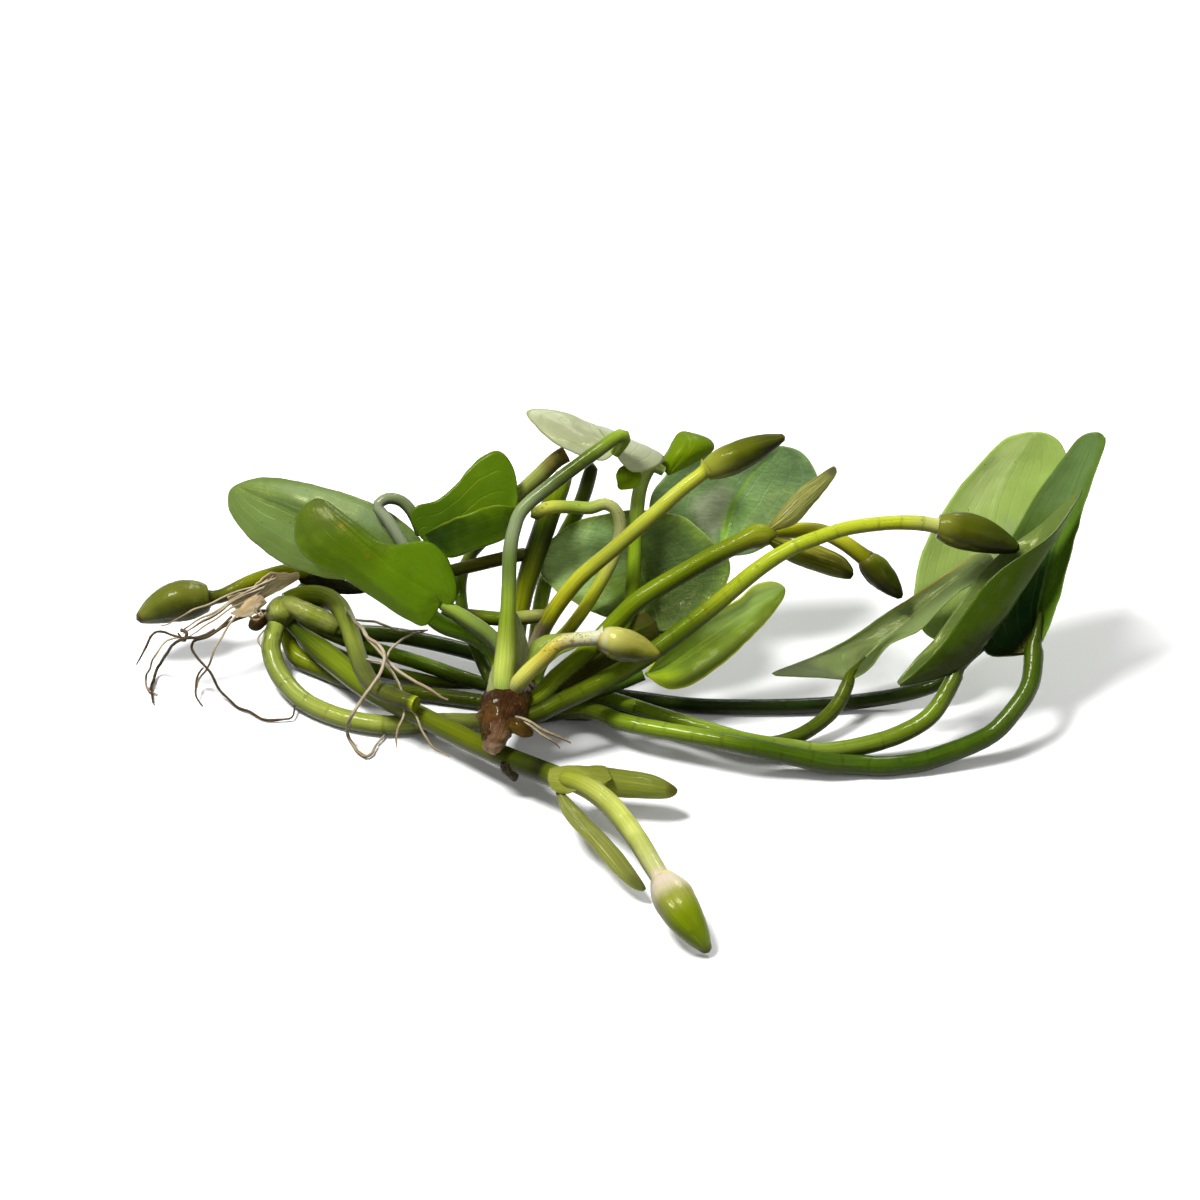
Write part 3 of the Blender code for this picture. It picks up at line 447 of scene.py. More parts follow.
def stem_tree():
    """Builds the Geometry Nodes tree that turns a route into a round stem with rings and lumps."""
    tree = bpy.data.node_groups.new("stem along a route", "GeometryNodeTree")
    tree.interface.new_socket("Geometry", in_out="OUTPUT", socket_type="NodeSocketGeometry")
    kinds = {
        "Geometry": "Geometry", "Sides": "Int", "Ring spacing": "Float", "Ring depth": "Float",
        "Lump size": "Float", "Lump depth": "Float", "Seed": "Float", "Skin": "Material",
    }
    names = {
        label: tree.interface.new_socket(
            label, in_out="INPUT", socket_type="NodeSocket" + kind
        ).identifier
        for label, kind in kinds.items()
    }
    given = {socket.name: Wire(socket) for socket in tree.nodes.new("NodeGroupInput").outputs if socket.name}

    def store(geometry, label, value, kind="FLOAT"):
        inputs = {"Name": label, "Geometry": geometry, "Value": value}
        return add_node(tree, "GeometryNodeStoreNamedAttribute", inputs, data_type=kind)

    def read(label, kind="FLOAT"):
        return add_node(tree, "GeometryNodeInputNamedAttribute", {"Name": label}, data_type=kind)

    def scaled(vector, scale):
        return add_node(tree, "ShaderNodeVectorMath", {0: vector, "Scale": scale}, operation="SCALE")

    length = add_node(tree, "GeometryNodeSplineParameter", output="Length")
    route = store(given["Geometry"], "along", length / MM)
    route = store(route, "share", add_node(tree, "GeometryNodeSplineParameter", output="Factor"))
    circle = add_node(tree, "GeometryNodeCurvePrimitiveCircle", {"Resolution": given["Sides"], "Radius": MM})
    position = add_node(tree, "GeometryNodeInputPosition")
    swept = add_node(tree, "GeometryNodeCurveToMesh", {
        "Curve": route, "Profile Curve": store(circle, "ring", scaled(position, 1 / MM), "FLOAT_VECTOR"),
        "Scale": add_node(tree, "GeometryNodeInputRadius"), "Fill Caps": True,
    })
    from_ring = read("along").math("PINGPONG", given["Ring spacing"] * 0.5)
    waist = ease(from_ring, 0.0, WAIST_WIDTH, 1.0, 0.0) * given["Ring depth"]
    shift = add_node(tree, "ShaderNodeCombineXYZ", (given["Seed"],))
    moved = add_node(tree, "ShaderNodeVectorMath", (position, shift), operation="ADD")
    lump = (grain(moved, 1.0 / given["Lump size"]) - 0.5) * given["Lump depth"]
    offset = scaled(add_node(tree, "GeometryNodeInputNormal"), waist + lump)
    shape = add_node(tree, "GeometryNodeSetPosition", {"Geometry": swept, "Offset": offset})
    shape = add_node(tree, "GeometryNodeRealizeInstances", (shape,))
    dressed = add_node(tree, "GeometryNodeSetMaterial", {"Geometry": shape, "Material": given["Skin"]})
    feed(tree.nodes.new("NodeGroupOutput"), (dressed,))
    return tree, names


STEM_TREE, STEM_INPUTS = stem_tree()


def placed(name, mesh):
    piece = bpy.data.objects.new(name, mesh)
    bpy.context.scene.collection.objects.link(piece)
    return piece


def belongs(piece, slot, *nodes):
    """Fixes the piece to the plant, in place of the plain solids that it stands for."""
    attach(piece, "root")
    if nodes:
        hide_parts(*nodes)


def sweep(name, runs, skin, sides=20, ring_spacing=8.0, ring_depth=0.0, lump_size=6.0, lump_depth=0.12,
          step=STEM_STEP, ends=(0, 0)):
    """Makes one mesh of round stems along the runs, each a list of (x, y, z, radius in mm).

    ends says how many radii long the rounding of the first and the last end is.
    """
    curve = bpy.data.curves.new(name, "CURVE")
    curve.dimensions = "3D"
    for run in runs:
        count = max(6, round(run_length(run) / step) + 1)
        spline = curve.splines.new("POLY")
        spline.points.add(count - 1)
        line = smooth(run, count)
        pace = run_length(line) / (count - 1)
        for i, (point, place) in enumerate(zip(spline.points, line)):
            point.co = (*place.xyz, 1)
            point.radius = place.w
            for length, steps in zip(ends, (i, count - 1 - i)):
                rounding = length * place.w * MM
                if rounding and steps * pace < rounding:
                    share = max(NARROWEST_END, steps * pace / rounding)
                    point.radius = place.w * math.sqrt(share * (2 - share))
    route = placed(name + "_route", curve)
    grow = route.modifiers.new("stem", "NODES")
    grow.node_group = STEM_TREE
    settings = {
        "Sides": sides, "Ring spacing": ring_spacing, "Ring depth": ring_depth * MM,
        "Lump size": lump_size * MM, "Lump depth": lump_depth * MM,
        "Seed": float(len(bpy.data.objects)), "Skin": skin,
    }
    for label, value in settings.items():
        grow[STEM_INPUTS[label]] = value
    mesh = bpy.data.meshes.new_from_object(route.evaluated_get(bpy.context.evaluated_depsgraph_get()))
    bpy.data.objects.remove(route)
    bpy.data.curves.remove(curve)
    welded = bmesh.new()
    welded.from_mesh(mesh)
    bmesh.ops.recalc_face_normals(welded, faces=welded.faces)
    welded.to_mesh(mesh)
    welded.free()
    mesh.shade_smooth()
    mesh.set_sharp_from_angle(angle=SHARP_STEM_EDGE)
    return placed(name, mesh)


def crown_trim(name, points, radii, skin, **shape):
    """A small lump or torn end of a crown, which no solid stands for."""
    belongs(sweep(name, [rod(points, radii)], skin, **shape), "crown")


def stem(name, route, radii, skin, slot="stem", reach=0.0, flare=None, into=(), swell=1.0, **shape):
    """A petiole, stalk or crown along the route, in place of the node that it is named for.

    reach is how many millimetres its last end runs on into the bud or leaf that it carries, and flare
    is its radius there. into are points in the leaf that it tapers away along instead. swell is how
    much thicker it is than its solid.
    """
    radii = [radius * swell for radius in radii]
    if into:
        route += into
        radii += [radii[-1] * (1 - (k + 0.6) / (len(into) + 0.3)) for k in range(len(into))]
    else:
        further = route[-1] + (route[-1] - route[-2]).normalized() * reach * MM
        if flare:
            route.append(further)
            radii.append(flare)
        else:
            route[-1] = further
    belongs(sweep(name + "_detail", [rod(route, radii)], skin, **shape), slot, name)


crown_skin = stem_skin(
    "pale_crown_sheath", [(0, 0x849032), (0.4, 0x96A041), (0.8, 0x8A9832), (1, 0x768228)], 0xC3C678,
    blotch=0.6, streak=0.2, specks=0.2, speck_colour=0x6E5528, rough=0.3, wet=0.45, sheer=0.25, bump=0.5
)
stem(
    "left_crown", lying([(281, 595.5, 21), (282, 612, 17), (285, 627, 13.5)]), [4.0, 5.4, 4.4], crown_skin,
    slot="crown", lump_size=4, lump_depth=1.5, sides=40, step=0.5 * MM, ends=(0.9, 0.8)
)
crown_trim(
    "cut_leaf_sheath", lying([(284, 603, 20), (304, 612, 19.3), (322, 620.5, 17.6), (340, 629, 15.4)]),
    (3.0, 3.3, 3.4, 3.2), crown_skin, lump_size=2.6, lump_depth=0.9, sides=36, step=0.5 * MM,
    ends=(0.4, 0.25)
)
stem(
    "root_stub", lying([(270, 614, 15.5), (257, 623, 13), (249.5, 628, 11.3)]), [1.4, 2.4, 1.3], stem_skin(
        "striped_root_stub", [(0, 0x78552D), (0.5, 0x966E41), (1, 0x503219)], 0x3C2614, blotch=0.4,
        streak=0.8, rough=0.55, wet=0.17, bump=0.5
    ), slot="crown", lump_size=2.5, lump_depth=0.4, sides=32, step=0.4 * MM, ends=(0.5, 0.9)
)


# ---- The left flower shoot: a stalk that turns back over the crown, its closed green bud, and the dry
# papery sheath that it grew out of. The sheath is brown film, split and curled at its free end.
BUD_PROFILE = [0.62, 0.86, 0.98, 1.0, 0.95, 0.85, 0.7, 0.5, 0.24]
BUD_SIDES = 54
BUD_ROWS = 48
BUD_LINE_POINTS = 200
BUD_SEPALS = 3
SEPAL_TWIST = 0.3
SEPAL_ARCH = 0.03
SEPAL_LIFT_RATE = 6
BUD_LUMP_DEPTH = 0.05
BUD_LUMPS_AROUND = 1.4
BUD_LUMPS_ALONG = 5
HEADING_SPAN = 6
SHARP_BUD_EDGE = math.radians(50)

# The noise scales of what is seen in the skin of a leaf.
VEIN_WOBBLE_SCALE = 150.0
RAGGED_SCALE = 260.0
PORE_SCALE = 900.0
FAINT_VEIN_SCALE = 120.0
LEAF_SPECK_SCALE = 700.0
LEAF_FILM_SCALE = 330.0
SIDE_VEINS = 30.0
SIDE_VEIN_SHIFT = 0.618
CREASES = (16.0, 60.0)
LINE_STRETCH = 2.2

# Where each pattern of a leaf begins and is full, and how strong it is.
BLOTCH_RANGE = (0.3, 0.72)
VEIN_WOBBLE = 0.035
PATCH_RAGGEDNESS = 0.7
PATCH_RANGE = (0.45, 1.25)
PORE_RANGE = (0.2, 0.8)
PORE_DEPTH = 0.35
VEIN_WIDTH = 0.085
SIDE_VEIN_WIDTH = 0.11
SIDE_VEIN_SLANT = 0.7
SIDE_VEIN_RAGGEDNESS = 1.1
FAINT_RANGE = (0.35, 0.65)
FAINTEST_VEIN = 0.35
VEIN_DEPTH = 0.6
CREASE_SHADE_RANGE = (0.3, 0.7)
CREASE_SHADE_TONES = (0.82, 1.1)
LINE_RANGE = (0.36, 0.64)
RIB_TAPER = 0.6
RIB_RANGE = (0.6, 1.4)
RIM_RAGGEDNESS = 0.02
RIM_SPREAD = 1.6
RIM_SHARE = 0.45

MARGIN_STEP = 0.22
MARGIN_SWAY = 0.02
USUAL_EDGE = 0.3
MARGIN_SHARE = 0.06
THIN_MARGIN = 0.45
MARGIN_TAPER_ROWS = 6
WAVE_TAPER_ROWS = 5
FINE_WAVE = 0.4
RIB_FADE = 0.7


def bud(name, line, radius, skin, overlap=0.09, turn=0.0):
    """A closed flower bud: sepals wrapped over each other, each with one free edge that stands proud."""
    line = smooth(line, BUD_LINE_POINTS)
    length = run_length(line)
    steps = len(BUD_PROFILE) - 1
    outline = [Vector((length * i / steps, radius * share * MM, 0)) for i, share in enumerate(BUD_PROFILE)]
    surface = bmesh.new()
    along = surface.verts.layers.float.new("along")
    share_of = surface.verts.layers.float.new("share")
    ring_of = surface.verts.layers.float_vector.new("ring")

    def new_vert(spot, share, ring):
        vert = surface.verts.new(spot)
        vert[along] = share * length / MM
        vert[share_of] = share
        vert[ring_of] = ring
        return vert

    rows = []
    last = BUD_LINE_POINTS - 1
    for x, size, _ in smooth(outline, BUD_ROWS):
        share = min(max(x / length, 0.0), 1.0)
        k = min(int(share * last), last - 1)
        ahead = (line[min(k + HEADING_SPAN, last)] - line[max(k - HEADING_SPAN, 0)]).normalized()
        side = ahead.cross(Vector((0, 0, 1))).normalized()
        rise = side.cross(ahead)
        row = []
        for i in range(BUD_SIDES):
            angle = 2 * math.pi * i / BUD_SIDES
            part = (i * BUD_SEPALS / BUD_SIDES + SEPAL_TWIST * share + turn) % 1
            proud = 1 + overlap * (part - 0.5) * min(1, share * SEPAL_LIFT_RATE)
            proud += SEPAL_ARCH * math.sin(part * math.pi)
            ring = Vector((math.cos(angle), math.sin(angle), 0))
            lump_at = ring * BUD_LUMPS_AROUND + Vector((0, 0, share * BUD_LUMPS_ALONG + radius))
            lump = noise.noise(lump_at) * BUD_LUMP_DEPTH
            spot = line[k] + (side * ring.x + rise * ring.y) * size * (proud + lump)
            row.append(new_vert(spot, share, ring))
        rows.append(row)
    heading = (line[-1] - line[-8]).normalized()
    start = new_vert(line[0] - (line[7] - line[0]).normalized() * 0.5 * MM, 0, Vector())
    end = new_vert(line[-1] + heading * radius * 0.1 * MM, 1, Vector())
    for i in range(BUD_SIDES):
        j = (i + 1) % BUD_SIDES
        surface.faces.new((start, rows[0][j], rows[0][i]))
        surface.faces.new((end, rows[-1][i], rows[-1][j]))
        for near, far in zip(rows, rows[1:]):
            surface.faces.new((near[i], near[j], far[j], far[i]))
    bmesh.ops.recalc_face_normals(surface, faces=surface.faces)
    mesh = bpy.data.meshes.new(name + "_detail")
    surface.to_mesh(mesh)
    surface.free()
    mesh.shade_smooth()
    mesh.set_sharp_from_angle(angle=SHARP_BUD_EDGE)
    mesh.materials.append(skin)
    belongs(placed(name + "_detail", mesh), "bud", name)


def leaf_skin(name, main, second, blotch=0.5, blotch_scale=70.0, veins=8, vein=0xAABE78, vein_share=0.11,
              cross=0.3, rim=None, rim_width=0.025, rib=None, rib_share=0.6, rib_width=0.012, patches=(),
              lines=0, line_share=0.4, specks=0.0, speck_colour=0x463C1E, rough=0.38, wet=0.12,
              sheer=0.0, bump=0.1, film=0.05, ripple=0.0):
    """The skin of one side of a leaf or bract, on its own map: u runs across it and v from base to tip.

    patches are (u, v, reach across, reach along, colour, share): ragged-edged patches of colour, some of them
    real stains and some painted shade and painted highlights.
    lines is the number of fine lengthwise lines, as bracts and sheaths have. ripple is the depth of
    the fine creases of a leaf that has lost some of its water; their hollows are painted darker and their
    crests lighter, as shade and light.
    """
    material, shader = new_skin(name, rough, wet, sheer)
    tree = material.node_tree
    place = add_node(tree, "ShaderNodeTexCoord", output="Object")
    across, v, _ = parts(add_node(tree, "ShaderNodeUVMap", uv_map="leaf"))
    u = (grain(place, VEIN_WOBBLE_SCALE, 2.0) - 0.5) * VEIN_WOBBLE + across
    ragged = grain(place, RAGGED_SCALE, 4.0) - 0.5
    cloud = ease(grain(place, blotch_scale, 5.0, 0.4), *BLOTCH_RANGE)
    colour = mixed(cloud * blotch, main, second)
    for centre_u, centre_v, reach_u, reach_v, mark_colour, share in patches:
        off_u = (across - centre_u) / reach_u
        off_v = (v - centre_v) / reach_v
        away = ragged * PATCH_RAGGEDNESS + (off_u * off_u + off_v * off_v).math("SQRT")
        colour = mixed(ease(away, *PATCH_RANGE, share, 0.0), colour, mark_colour)
    height = ease(grain(place, PORE_SCALE, 2.0), *PORE_RANGE, 0.0, PORE_DEPTH)
    if veins:
        strips = u * float(veins)
        from_vein = strips.math("PINGPONG", 0.5)
        main_vein = ease(from_vein, 0.0, VEIN_WIDTH, 1.0, 0.0)
        offset = (strips.math("FLOOR") * SIDE_VEIN_SHIFT).math("FRACT")
        slanted = from_vein * SIDE_VEIN_SLANT + (v * SIDE_VEINS + offset)
        bent = ragged * SIDE_VEIN_RAGGEDNESS + slanted
        side_vein = ease(bent.math("PINGPONG", 0.5), 0.0, SIDE_VEIN_WIDTH, cross, 0.0)
        net = main_vein.math("MAXIMUM", side_vein)
        faint = net * ease(grain(place, FAINT_VEIN_SCALE, 2.0), *FAINT_RANGE, FAINTEST_VEIN, 1.0)
        colour = mixed(faint * vein_share, colour, vein)
        height = net * -VEIN_DEPTH + height
    if ripple:
        crease_at = add_node(tree, "ShaderNodeCombineXYZ", (u * CREASES[0], v * CREASES[1]))
        crease = grain(crease_at, 1.0, 3.0, 0.8)
        height = crease * ripple + height
        # The creases are painted as well: darker in their hollows, as shade, and lighter on their crests, as
        # light.
        colour = toned(colour, ease(crease, *CREASE_SHADE_RANGE, *CREASE_SHADE_TONES))
    if lines:
        fine_at = add_node(tree, "ShaderNodeCombineXYZ", (u * float(lines), v * LINE_STRETCH))
        fine = ease(grain(fine_at, 1.0, 2.0), *LINE_RANGE)
        colour = toned(colour, 1.0 - fine * line_share)
        height = fine + height
    if rib:
        width = v * (-RIB_TAPER * rib_width) + rib_width
        line = ease((u - 0.5).math("ABSOLUTE") / width, *RIB_RANGE, rib_share, 0.0)
        colour = mixed(line, colour, rib)
    if rim:
        from_rim = ragged * RIM_RAGGEDNESS + across.math("PINGPONG", 0.5)
        colour = mixed(ease(from_rim, 0.0, rim_width * RIM_SPREAD, RIM_SHARE, 0.0), colour, rim)
    if specks:
        colour = mixed(speckle(place, specks, LEAF_SPECK_SCALE, 0.5, 0.05), colour, speck_colour)
    finish(shader, colour, height, bump * MM, grain(place, LEAF_FILM_SCALE, 3.0), film * MM)
    return material


def leaf(name, left, middle, right, skin, base=None, tip=None, back=None, fold=0.0, thickness=0.8, rows=60,
         columns=20, wave=0.5, wave_size=9.0, rib=0.4, rib_width=0.05, edge=USUAL_EDGE, slot="leaf",
         node=True):
    """A leaf or bract through its two margins and its midrib; its skin is on the side that the eye sees.

    The three lines are (x, y, millimetres behind the grid). Where they share a base or a tip, it is
    given once. rib is how far the midrib stands towards the eye (below 0 it is a groove), wave is the
    unevenness of the surface and edge that of the margins, all in millimetres. fold is how flat each
    half is. node is False where no solid stands for the piece.
    """
    starts, ends = ([place] if place else [] for place in (base, tip))
    lines = [deep(starts + line + ends) for line in (left, middle, right)]
    beyond = lines[2][-2], None, lines[0][-2]
    left, middle, right = (smooth(line, rows + 1, place) for line, place in zip(lines, beyond))
    seed = Vector((len(bpy.data.objects) * 1.7, 0, 0))
    grid = []
    for i, (a, centre, b) in enumerate(zip(left[1:-1], middle[1:-1], right[1:-1])):
        level = (b - a).normalized()
        taper = min(1, (i + 1) / MARGIN_TAPER_ROWS, (rows - 1 - i) / MARGIN_TAPER_ROWS)
        row = []
        for column in range(-columns, columns + 1):
            share = abs(column) / columns
            side = 1 if column > 0 else -1
            reach = (b if column > 0 else a) - centre
            sway = MARGIN_SWAY * noise.noise(seed + Vector((i * MARGIN_STEP, side * 7, 0)))
            reach = reach * (1 + sway * edge * taper / USUAL_EDGE)
            slope = (level * side * reach.length).lerp(reach, fold)
            row.append(centre + slope * share + (reach - slope) * share**2)
        grid.append(row)
    eye = EYE - PLANT_MIDDLE
    normals = []
    towards = 0.0
    for i, row in enumerate(grid):
        before, after = grid[max(i - 1, 0)], grid[min(i + 1, len(grid) - 1)]
        line = []
        for j, place in enumerate(row):
            across = row[min(j + 1, 2 * columns)] - row[max(j - 1, 0)]
            normal = across.cross(after[j] - before[j]).normalized()
            towards += normal.dot((eye - place).normalized())
            line.append(normal)
        normals.append(line)
    facing = 1 if towards > 0 else -1
    surface = bmesh.new()
    chart = surface.loops.layers.uv.new("leaf")
    weights = surface.verts.layers.deform.new()
    grown = []
    for i, (row, line) in enumerate(zip(grid, normals)):
        v = (i + 1) / rows
        taper = min(1, (i + 1) / WAVE_TAPER_ROWS, (rows - 1 - i) / WAVE_TAPER_ROWS)
        verts = []
        for j, (place, normal) in enumerate(zip(row, line)):
            u = j / (2 * columns)
            rise = rib * math.exp(-(((u - 0.5) / rib_width) ** 2)) * (1 - v) ** RIB_FADE
            ripple = noise.noise(place / (wave_size * MM) + seed)
            ripple += FINE_WAVE * noise.noise(place / (FINE_WAVE * wave_size * MM))
            vert = surface.verts.new(place + normal * facing * (rise + wave * ripple) * taper * MM)
            vert[weights][0] = min(1.0, min(u, 1 - u) / MARGIN_SHARE)
            verts.append(vert)
        grown.append(verts)
    base, tip = surface.verts.new(middle[0]), surface.verts.new(middle[-1])
    base[weights][0] = tip[weights][0] = 0.5

    def face(corners, charted):
        if facing < 0:
            corners, charted = corners[::-1], charted[::-1]
        for loop, spot in zip(surface.faces.new(corners).loops, charted):
            loop[chart].uv = spot

    for j in range(2 * columns):
        u, after = j / (2 * columns), (j + 1) / (2 * columns)
        low, high = 1 / rows, (rows - 1) / rows
        face((grown[0][j + 1], grown[0][j], base), ((after, low), (u, low), (0.5, 0)))
        face((grown[-1][j], grown[-1][j + 1], tip), ((u, high), (after, high), (0.5, 1)))
        for i in range(len(grown) - 1):
            low, high = (i + 1) / rows, (i + 2) / rows
            face((grown[i][j], grown[i][j + 1], grown[i + 1][j + 1], grown[i + 1][j]),
                 ((u, low), (after, low), (after, high), (u, high)))
    mesh = bpy.data.meshes.new(name + "_detail")
    surface.to_mesh(mesh)
    surface.free()
    mesh.shade_smooth()
    mesh.materials.append(skin)
    mesh.materials.append(back or skin)
    piece = placed(name + "_detail", mesh)
    piece.vertex_groups.new(name="middle")
    shell = piece.modifiers.new("thickness", "SOLIDIFY")
    shell.thickness = thickness * MM
    shell.offset = 0
    shell.vertex_group = "middle"
    shell.thickness_vertex_group = THIN_MARGIN
    shell.material_offset = 1
    belongs(piece, slot, *((name,) if node else ()))


stem(
    "left_bud_stalk", deep([
        (283, 606, 46.5), (289, 601, 49), (299, 594, 50), (309, 583, 48.5), (307, 573.5, 46.5),
        (293, 570.5, 44.5), (277, 573, 42.8), (252, 581, 41), (232, 591, 39.8), (222, 595.8, 39.3),
        (211.6, 597.9, 38.8)
    ]), [1.8, 1.9, 2.0, 2.0, 2.0, 2.0, 2.0, 2.0, 2.0, 2.0, 2.1], stem_skin(
        "left_bud_stalk", [(0, 0x3E461E), (0.45, 0xDAE42C), (1, 0x34361C)], 0x585C1E, blotch=0.24,
        top=0x5A641E, rough=0.3, wet=0.52
    ), reach=2, flare=4.3, swell=1.12
)
bud(
    "left_bud", deep([(208.5, 598, 38.5), (174, 602.5, 37), (138, 619, 35)]), 6.3, stem_skin(
        "left_bud", [(0, 0x686E2E), (0.3, 0x545828), (0.7, 0x60682E), (0.93, 0x7C803A), (1, 0x40261E)],
        0x38441E, blotch=0.3, streak=0.08, painted_underside_shade=0.8, top=0x808634, top_light_share=0.4, specks=0.25, rough=0.36,
        wet=0.5, bump=0.2
    ), turn=0.2, overlap=0.06
)
paper_skin = leaf_skin(
    "dry_papery_sheath", 0xF8E0B6, 0xE4C490, blotch=0.6, blotch_scale=160, veins=0, lines=40, line_share=0.3,
    patches=((0.3, 0.5, 0.2, 0.4, 0xEAB870, 0.4),), specks=0.12, rough=0.6, wet=0.1, sheer=0.2, bump=0.25
)
leaf(
    "dry_sheath", [(300, 573, 33), (270, 574, 32), (247, 590, 31), (226, 598, 30)],
    [(300, 576, 36), (272, 582, 35), (250, 597, 33), (232, 606, 32)],
    [(300, 579, 37), (284, 588, 36), (258, 602, 35), (238, 612, 34)], paper_skin, wave=1.3, wave_size=5,
    rib=0, edge=1.2, thickness=0.5, rows=40, slot="root"
)
leaf(
    "dry_sheath_flap", [(258, 590, 33), (250, 596, 31), (240, 607, 29), (230, 614, 28)],
    [(262, 596, 32), (255, 603, 29), (246, 611, 28), (238, 617, 28)],
    [(268, 602, 33), (262, 609, 31), (255, 614, 29), (246, 617, 28)], paper_skin, wave=1.0, wave_size=4,
    rib=0, edge=1.5, thickness=0.4, rows=30, slot="root", node=False
)
# A near-black film set in the gap under the left leaves: a sheet of painted shadow that stands in for the
# deep shade there.
leaf(
    "painted_shadow_film", [(296, 569, 47), (318, 572, 45), (340, 578, 43)],
    [(296, 575, 46), (317, 580, 44), (338, 586, 42)], [(298, 582, 45), (315, 588, 44), (336, 594, 42)],
    leaf_skin("painted_shadow_film", 0x1A180C, 0x282412, blotch=0.6, veins=0, lines=20, rough=0.4, wet=0.6),
    tip=(366, 592, 40), rib=0, wave=0.8, wave_size=5, rows=30, thickness=0.5, slot="crown", node=False
)


# ---- The long petioles and the runner: round spongy stalks, 5 to 6 mm thick, with fine lengthwise fibres
# and a faint cross wall every 7 to 9 mm. They lie on the table, wet, and cross under the centre.
stem(
    "petiole_low", lying([
        (279, 618, 15), (272.5, 637, 13), (271.5, 652, 10), (280, 675, 6.5), (300, 698, 4), (325, 712, 3.2),
        (355, 721, 3.2), (390, 725, 3.2), (440, 722, 3.2), (480, 722, 3.2), (530, 716, 4.4), (584, 710, 8),
        (630, 724, 10), (706, 738, 11), (746, 746, 10.5), (798, 757, 7), (827, 763, 5), (860, 765, 3.4),
        (881, 766, 3.1), (905, 764, 3.1)
    ]) + deep([(934, 758, 0), (988, 736, 1), (1015, 709, 2), (1030, 684, 4), (1033.8, 654.4, 7.8)]), [
        2.8, 3.0, 3.1, 3.1, 3.0, 3.0, 3.0, 3.0, 2.8, 2.8, 2.8, 2.7, 2.7, 2.7, 2.8, 3.0, 3.1, 3.1, 3.1, 3.1,
        3.1, 3.0, 2.9, 2.9, 3.0
    ], stem_skin(
        "low_petiole", [
            # The near-black stop at 0.36 is painted shade, where the petiole runs under the centre crown and
            # the stems.
            (0, 0xB0BE56), (0.07, 0xA0AC54), (0.2, 0xB6C258), (0.36, 0x22261E), (0.5, 0x9AB630),
            (0.62, 0x4E681E), (0.8, 0x425E10), (0.9, 0x4A6412), (1, 0x465814)
        ], 0x607C1E, blotch=0.18, streak=0.32, specks=0.12, wet=0.9, broken=0.28, septa=9
    ), into=deep([(1034, 646, 8), (1037, 632, 8.6), (1040, 612, 9)]), ring_spacing=9, ring_depth=-0.05
)
stem(
    "petiole_rear", lying([
        (284, 603, 20), (304, 612, 19), (340, 630, 15), (400, 636, 11), (477, 654, 6.5), (504, 670, 4.6),
        (540, 688, 3), (580, 697, 2.7), (619, 697, 2.7), (701, 706, 2.5), (800, 706, 2.5), (870, 700, 3.5),
        (920, 690, 6), (946, 677, 10)
    ]) + deep([(961.8, 650.8, 22.1)]),
    [2.4, 2.7, 2.5, 2.5, 2.5, 2.4, 2.4, 2.4, 2.5, 2.4, 2.4, 2.4, 2.3, 2.2, 2.0], stem_skin(
        "rear_petiole", [
            (0, 0x96AA5A), (0.08, 0x789232), (0.25, 0x344E0E), (0.35, 0x283A0A), (0.7, 0x243408),
            (0.9, 0x344614), (1, 0x546E1E)
        ], 0x344810, blotch=0.3, streak=0.35, wet=0.8, septa=11
    ), into=deep([(962, 644, 22), (963, 630, 22.3), (965, 612, 23)])
)
stem(
    "petiole_upper", lying([
        (284, 614, 15), (305, 623, 11.8), (330, 633, 9.6), (361, 645, 8), (420, 663, 6), (480, 683, 5),
        (530, 692, 4), (575, 695, 7.3), (612, 700, 9), (660, 715, 10), (700, 727, 10), (746, 740, 8.6),
        (790, 747, 5.8)
    ]) + deep([(827, 751, 1.5), (870, 744, 2), (907, 731, 2), (934, 712, 2), (953.7, 679, 3.6)]),
    [1.6, 1.9, 2.3, 2.3, 2.3, 2.3, 2.3, 2.4, 2.4, 2.4, 2.4, 2.4, 2.5, 2.7, 2.8, 2.8, 2.7, 2.5], stem_skin(
        "upper_petiole", [
            (0, 0xE8E82E), (0.12, 0xA6D030), (0.35, 0x546E26), (0.55, 0x88A428), (0.75, 0x889E3C),
            (0.88, 0x728824), (1, 0x20221E)
        ], 0x88B222, blotch=0.16, streak=0.32, wet=1.0, broken=0.4, septa=11
    ), into=deep([(957, 671, 3.8), (966, 662, 3.4), (984, 649, 3)]), ring_spacing=11, ring_depth=-0.05
)
stem(
    "petiole_inner", lying([
        (284, 622, 11), (288, 640, 7.5), (298, 657, 4), (322, 669, 3), (357, 684, 2.9), (390, 691, 2.6),
        (424, 694, 2.5), (483, 702, 2.5), (540, 711, 2.5), (580, 713, 2.5), (620, 712, 2.5), (660, 720, 2.5),
        (700, 730, 2.5), (746, 744, 2.5), (775, 743, 3), (800, 735, 4.5), (822, 721, 6.5), (838, 704, 9.5)
    ]) + deep([(848, 682.6, 14.5)]),
    [1.6, 2.3, 2.9, 2.9, 2.7, 2.5, 2.4, 2.4, 2.3, 2.3, 2.3, 2.3, 2.3, 2.3, 2.3, 2.3, 2.3, 2.3, 2.0],
    stem_skin(
        "inner_petiole",
        [(0, 0xA8B822), (0.2, 0x5A6820), (0.6, 0x42541E), (0.8, 0x54661A), (0.95, 0x5C6C1E), (1, 0x465414)],
        0x3C4C1E, blotch=0.2, streak=0.32, wet=0.52, specks=0.15, septa=5
    ), into=deep([(850, 676, 15), (856, 668, 15.6), (866, 657, 16)]), ring_spacing=5, ring_depth=-0.06
)
